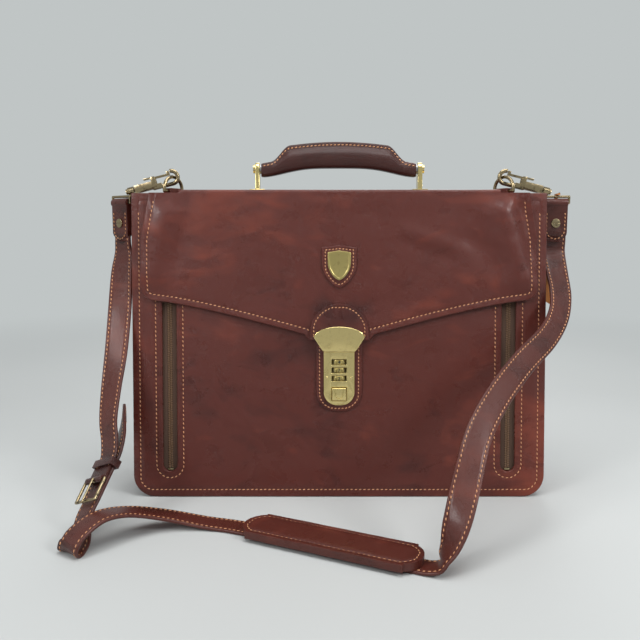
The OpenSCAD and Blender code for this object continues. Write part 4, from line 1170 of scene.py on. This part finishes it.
@dataclass
class Lock:
    """The combination lock on the front: its patch, plate, dials, button and case."""

    face: float = -0.0045
    dial_r: float = 0.009
    dial_t: float = 0.0044
    dial_y: float = 0.0043
    dial_mid: float = 0.1183
    dial_step: float = 0.0075
    rests: tuple[int, int, int] = (4, 7, 2)
    seam_half: float = 0.0179
    seam_foot: float = 0.0829
    seam_bend: float = 0.0140
    mark_y: float = -0.0076
    mark: tuple = ((0.0038, 0.1006), (0.0036, 0.0955), (0.0022, 0.0932))
    mark_low: float = 0.0926
    mark_wide: float = 0.0009
    rivet_at: tuple[float, float] = (0.0112, 0.1115)
    rivet: tuple[float, float, float] = (0.0021, 0.0008, 0.0021)
    digit_size: float = 0.0046
    notches: int = 10

    def build(self) -> None:
        """Makes the lock."""
        Plate("lock_patch", FRONT, pitch=0.006, edge=0.0006).build()
        self._patch_seam()
        Casting("lock_plate", edge=0.0005).build()
        Casting("release_button", edge=0.0008, segments=3).build()
        self._button_line()
        for word, k, shows in zip(("upper", "middle", "lower"), (1, 0, -1), self.rests):
            self._dial(word, self.dial_mid + k * self.dial_step, shows)
        self._rivets()

    def _patch_seam(self) -> None:
        """Sews the patch round its sides and its rounded foot."""
        turns = [math.pi / 2 * k / 12 for k in range(13)]
        left = [(-self.seam_half, 0.1445)] + [
            (-self.seam_half + self.seam_bend * (1 - math.cos(a)),
             self.seam_foot + self.seam_bend * (1 - math.sin(a))) for a in turns]
        line = [FRONT @ Vector((x, -0.0021, z)) for x, z in left + [(-x, z) for x, z in reversed(left)]]
        seam = Seam("lock_patch_seam", "case", pitch=0.0033, length=0.0024)
        seam.row(line, lambda at: outward(FRONT), closed=False)
        seam.build()

    def _button_line(self) -> None:
        """Makes the raised U on the button."""
        left = [(-x, z) for x, z in self.mark]
        line = [Vector((x, self.mark_y, z)) for x, z in (*left, (0.0, self.mark_low), *reversed(self.mark))]
        bm = bmesh.new()
        for at, _ in walk(line, self.mark_wide / 3, False):
            add_pill(bm, FRONT @ sized(at, (self.mark_wide,) * 3))
        piece("button_mark", bm, Finish.DIAL, "button", [], "brass", 80)

    def _dial(self, word: str, mid: float, shows: int) -> None:
        """Makes one dial, notched between its digits, and paints the digits on."""
        half = self.dial_t / 2
        profile = [(0.0021, -half), (self.dial_r - 0.0005, -half), (self.dial_r, -half + 0.0005),
                   (self.dial_r, half - 0.0005), (self.dial_r - 0.0005, half), (0.0021, half)]

        def place(u: float, v: float) -> Vector:
            """Gives a point of the ring at an angle and a place round its section."""
            r, z = profile[round(v * len(profile)) % len(profile)]
            turn = (u * self.notches + 0.5) % 1.0
            notch = 0.00055 * math.exp(-((min(turn, 1 - turn) / 0.07) ** 2)) if r > 0.008 else 0.0
            return self._on_dial(r - notch, 2 * math.pi * u, mid + z)

        bm = surface(160, len(profile), place)
        piece(f"dial_{word}_ring", bm, Finish.DIAL, f"{word}_dial", [f"dial_{word}"], "brass", 40)
        bm = bmesh.new()
        for k in range(self.notches):
            self._digit(bm, str((shows + k) % self.notches), 2 * math.pi * k / self.notches, mid)
        piece(f"dial_{word}_digits", bm, Finish.PAINT, f"{word}_dial", [], "brass")

    def _on_dial(self, r: float, turn: float, z: float) -> Vector:
        """Gives a point at a radius and a turn from the front about the dials' axis."""
        return FRONT @ Vector((r * math.sin(turn), self.dial_y - r * math.cos(turn), z))

    def _digit(self, bm: BMesh, digit: str, turn: float, mid: float) -> None:
        """Adds one raised digit, bent round the dial."""
        curve = bpy.data.curves.new("digit", "FONT")
        curve.body = digit
        curve.size = self.digit_size
        curve.align_x = "CENTER"
        curve.align_y = "CENTER"
        curve.extrude = 0.00008
        curve.offset = 0.00006
        holder = put("digit", curve)
        scene_graph = bpy.context.evaluated_depsgraph_get()
        flat = bpy.data.meshes.new_from_object(holder.evaluated_get(scene_graph))
        start = len(bm.verts)
        bm.from_mesh(flat)
        bm.verts.ensure_lookup_table()
        fresh = [bm.verts[i] for i in range(start, len(bm.verts))]
        middle = (min(v.co.y for v in fresh) + max(v.co.y for v in fresh)) / 2
        centre = (min(v.co.x for v in fresh) + max(v.co.x for v in fresh)) / 2
        for vert in fresh:
            a = turn + (vert.co.x - centre) / self.dial_r
            vert.co = self._on_dial(self.dial_r + 0.00004 + vert.co.z, a, mid + vert.co.y - middle)
        bpy.data.objects.remove(holder)
        bpy.data.curves.remove(curve)
        bpy.data.meshes.remove(flat)

    def _rivets(self) -> None:
        """Makes the two small rivets that hold the plate."""
        bm = bmesh.new()
        for side in (-1, 1):
            place = FRONT @ sized((side * self.rivet_at[0], self.face, self.rivet_at[1]), self.rivet)
            bmesh.ops.create_uvsphere(bm, u_segments=16, v_segments=8, radius=0.5, matrix=place)
        piece("lock_rivets", bm, Finish.BRASS, "case", [], "brass", 80)


# ---- Handle and hardware ----


@dataclass
class Handle:
    """The padded handle on its brackets."""

    span: float = 0.0723
    depth: float = 0.015
    pin_z: float = 0.3025
    neck: tuple[float, float] = (0.0455, 0.0635)
    seam_low: float = 0.0030

    def arch(self, x: float) -> float:
        """Gives the handle's arch, from 0 at its ends to 1 in the middle."""
        return math.cos(math.pi / 2 * x / self.span)

    def top(self, x: float) -> float:
        """Height of the grip's top above the pins."""
        return 0.0052 + 0.0128 * (1 - ease(*self.neck, abs(x))) + 0.007 * self.arch(x)

    def under(self, x: float) -> float:
        """Height of the grip's underside above the pins."""
        return -0.0076 + 0.0081 * ease(-0.002, 1.0, self.arch(x))

    def half_depth(self, share: float, x: float) -> float:
        """Half the grip's depth at a share of its height: full below, pinched to a sewn edge on top."""
        full = self.depth / 2 * (1 - 0.28 * ease(0.75, 1.0, abs(x) / self.span))
        pinch = 1 - 0.62 * ease(0.55, 0.84, share) * (1 - ease(0.76, 0.88, abs(x) / self.span))
        return full * pinch

    def build(self) -> None:
        """Makes the handle."""
        stations, turn = 72, 36

        def place(u: float, v: float) -> Vector:
            """Gives a point of the grip; the first and last rows close its ends."""
            row = round(u * (stations + 2))
            x = self.span * (2 * max(0, min(stations, row - 1)) / stations - 1)
            low, high = self.under(x), self.top(x)
            if row in (0, stations + 2):
                return Vector((x, TOP_Y, self.pin_z + (low + high) / 2))
            a = 2 * math.pi * v
            share = (1 + math.copysign(abs(math.sin(a)) ** 0.9, math.sin(a))) / 2
            reach = math.copysign(min(1.0, abs(math.cos(a)) ** 0.45), math.cos(a))
            shrink = 1 - 0.06 * (row in (1, stations + 1))
            mid = (low + high) / 2
            bump = 0.00025 * ripple(x, share * 0.03, 60, 8.0)
            y = (self.half_depth(share, x) + bump) * reach * shrink
            return Vector((x, TOP_Y + y, self.pin_z + mid + (low + (high - low) * share - mid) * shrink))

        bm = surface(stations + 2, turn, place)
        grip = piece("grip_hide", bm, Finish.GRIP, "handle", ["handle_grip"], "leather", 60)
        seam = Seam("grip_seam", "handle", pitch=0.0036, length=0.0028)
        for side in (-1, 1):
            line = []
            for k in range(101):
                x = self.span * 0.985 * (2 * k / 100 - 1)
                low, high = self.under(x), self.top(x)
                share = 1 - self.seam_low / (high - low)
                cos_a = max(0.0, 1 - (2 * share - 1) ** 2) ** 0.5
                y = self.half_depth(share, x) * cos_a ** 0.45 + 0.00005
                line.append(Vector((x, TOP_Y + side * y, self.pin_z + low + (high - low) * share)))
            seam.row(line, lambda at, s=side: Vector((0, s, 0)), closed=False)
        seam.build()
        for word in ("left", "right"):
            Casting(f"handle_bracket_{word}", edge=0.0006, segments=3).build()


@dataclass
class Hardware:
    """Rings on their tabs, snap hooks, strap ends, buckle, keeper, pad and tag."""

    fold_x: float = 0.20505
    fold_half: float = 0.0029
    fold_wide: float = 0.022
    fold_low: float = 0.235
    fold_corner: float = 0.0085
    fold_seam: tuple[float, float] = (0.0024, 0.2625)
    pad_at: tuple[float, float, float] = (-0.010, -0.147, 0.0033)
    pad_run: tuple[float, float] = (70, -34)

    def build(self) -> None:
        """Makes the small parts."""
        for word, turn in (("left", 37), ("right", 0)):
            Plate(f"ring_tab_{word}", edge=0.0006, pitch=0, finish=Finish.LEATHER).build()
            for part, edge in (("snap_hook", 0.00055), ("hook_gate", 0.0003), ("strap_stud", 0.00025)):
                Casting(f"{part}_{word}", Finish.ANTIQUE, edge, 2, "antique_brass").build()
            self._fold(word, -1 if word == "left" else 1, turn)
        Plate("strap_keeper", edge=0.0005, pitch=0, finish=Finish.STRAP).build()
        Plate("hide_tag", finish=Finish.SUEDE, slot="suede", edge=0.0004, inset=0.0024, groove=0.0002,
              pitch=0.005, stitch=0.0036, keep=lambda at: at.z < 0.206).build()
        pad_turn = math.atan2(self.pad_run[1], self.pad_run[0])
        place = Matrix.Translation(self.pad_at) @ Matrix.Rotation(pad_turn, 4, "Z") @ FACE_UP

        def crown(x: float, z: float) -> float:
            """The pad's soft rise towards its middle."""
            return 0.0008 * (1 - (z / 0.019) ** 2) * (1 - (x / 0.075) ** 4) + 0.0002 * ripple(x, z, 50, 2.0)

        pad = Plate("shoulder_pad", place, Finish.STRAP, edge=0.0016, inset=0.0035, groove=0.0006,
                    pitch=0.005, swell=crown).build()

    def _fold(self, word: str, side: int, turn: float) -> None:
        """Makes the strap's sewn fold round its eye: a rounded end and stitches on both faces."""
        place = (Matrix.Translation((side * self.fold_x, TOP_Y, 0))
                 @ Matrix.Rotation(math.radians(-turn), 4, "Z"))
        half, low = self.fold_wide / 2, self.fold_low

        def round_foot(bm: BMesh) -> None:
            """Rounds the two lower corners."""
            foot = [e for e in bm.edges
                    if all(abs(v.co.x) > half - 1e-4 and v.co.z < low + 1e-4 for v in e.verts)]
            bevel(bm, foot, self.fold_corner, 8, clamp=False)

        Plate(f"strap_fold_{word}", place, Finish.STRAP, edge=0.0008, pitch=0, shape=round_foot).build()
        edge, end = half - self.fold_seam[0], self.fold_seam[1]
        turns = [math.pi * k / 24 for k in range(25)]
        bend = [(edge * math.cos(a), low + half - edge * math.sin(a)) for a in turns]
        flat = [(edge, end), *bend, (-edge, end)]
        seam = Seam(f"strap_fold_{word}_seam", "case", pitch=0.0036, length=0.0026)
        for face in (-1, 1):
            out = -face * outward(place)
            line = [place @ Vector((x, face * self.fold_half, z)) for x, z in flat]
            seam.row(line, lambda at, o=out: o, closed=False)
        seam.build()


# ---- Carried-over parts, camera and light ----


@dataclass
class CarriedOver:
    """The CAD parts that keep their shape and take a finish."""

    antique: tuple = (
        "d_ring_left", "d_ring_right", "hook_eye_left", "hook_eye_right", "strap_buckle", "buckle_prong",
    )
    brass: tuple = ("lock_case", "handle_pin_left", "handle_pin_right")
    steel: tuple = ("dial_axle", "latch_bolt", "handle_bar")

    def dress(self) -> None:
        """Gives each part its finish."""
        dressed = {Finish.ANTIQUE: self.antique, Finish.BRASS: self.brass, Finish.STEEL: self.steel}
        for finish, nodes in dressed.items():
            for node in nodes:
                mesh = frame["nodes"][node].data
                mesh.materials.clear()
                mesh.materials.append(material(finish))
                LOG.info("%s keeps its shape", node)


@dataclass
class Studio:
    """The camera, a pale floor and soft lamps."""

    eye: tuple = (-0.0175, -0.6565, 0.241)
    pitch: float = 83.0
    lens: float = 38.9
    sensor: float = 36.0
    backdrop: tuple = srgb(192, 197, 197)
    room: tuple = (0.86, 0.88, 0.90, 1)
    room_strength: float = 0.34
    floor_half: float = 4.0
    fade: tuple[float, float] = (0.45, 1.7)

    def camera(self) -> None:
        """Places the camera."""
        data = bpy.data.cameras.new("camera")
        data.lens = self.lens
        data.sensor_width = self.sensor
        data.clip_start = 0.01
        made = put("camera", data)
        made.location = self.eye
        made.rotation_euler = (math.radians(self.pitch), 0, 0)
        bpy.context.scene.camera = made

    def lights(self) -> None:
        """Hangs the lamps and lays the floor."""
        self._lamp("overhead", (0.1, -0.35, 1.5), (0, 0, 0.15), 1.2, 15)
        self._lamp("left_window", (-1.0, -1.0, 0.85), (0, 0, 0.15), 0.5, 9)
        self._lamp("right_window", (1.05, -0.85, 0.95), (0.1, 0, 0.18), 0.45, 9)
        self._lamp("behind", (0.2, 1.3, 1.1), (0, 0, 0.2), 1.0, 7)
        self._world()
        self._floor()
        bpy.context.scene.view_settings.view_transform = "Standard"

    def _world(self) -> None:
        """Lights the case from all round, and shows the backdrop to the camera and in shiny faces."""
        world = bpy.data.worlds.new("room")
        bpy.context.scene.world = world
        tree = Tree(world)
        room = tree.tree.nodes["Background"]
        tree.feed(room.inputs["Color"], self.room)
        tree.feed(room.inputs["Strength"], self.room_strength)
        wall = tree.add("ShaderNodeBackground", {}, {"Color": self.backdrop, "Strength": 1.0})
        camera, glossy = tree.seen()
        either = tree.add("ShaderNodeMath", {"operation": "MAXIMUM"}, {0: camera, 1: glossy})
        tree.blend(either.outputs[0], room, wall, "World Output")

    def _lamp(self, name: str, at: tuple, to: tuple, size: float, power: float) -> None:
        """Hangs one soft lamp."""
        data = bpy.data.lights.new(name, "AREA")
        data.shape = "DISK"
        data.size = size
        data.energy = power
        made = put(name, data)
        made.location = at
        made.rotation_euler = (Vector(to) - Vector(at)).to_track_quat("-Z", "Y").to_euler()

    def _floor(self) -> None:
        """Lays a plain pale floor that fades into the backdrop."""
        bm = bmesh.new()
        bmesh.ops.create_grid(bm, x_segments=1, y_segments=1, size=self.floor_half)
        mesh = bpy.data.meshes.new("floor")
        bm.to_mesh(mesh)
        bm.free()
        nodes = Nodes("pale_floor")
        tone = nodes.cloud(3, 2)
        colour = nodes.mix(srgb(188, 191, 190), srgb(196, 199, 198), tone)
        nodes.done(Base_Color=colour, Roughness=0.55)
        reach = nodes.add("ShaderNodeVectorMath", {"operation": "LENGTH"}, {0: nodes.place})
        far = nodes.mask(Value(nodes, reach.outputs["Value"]), *self.fade)
        camera, glossy = nodes.seen()
        glow = nodes.add("ShaderNodeEmission", {}, {"Color": self.backdrop})
        nodes.blend(far * (Value(nodes, camera) + glossy), nodes.shader, glow, "Material Output")
        mesh.materials.append(nodes.material)
        floor = put("floor", mesh)


def main() -> None:
    """Builds the case part by part."""
    logging.basicConfig(level=logging.INFO, format="%(message)s")
    studio = Studio()
    studio.camera()
    StrapRun("short_strap", "strap_short", SHORT_STOPS).build()
    StrapRun("long_strap", "strap_long", LONG_STOPS).build()
    CaseBody().build()
    for side in (-1, 1):
        Zip(side).build()
    Flap().build()
    Lock().build()
    Handle().build()
    Hardware().build()
    CarriedOver().dress()
    studio.lights()


if __name__ == "__main__":
    main()
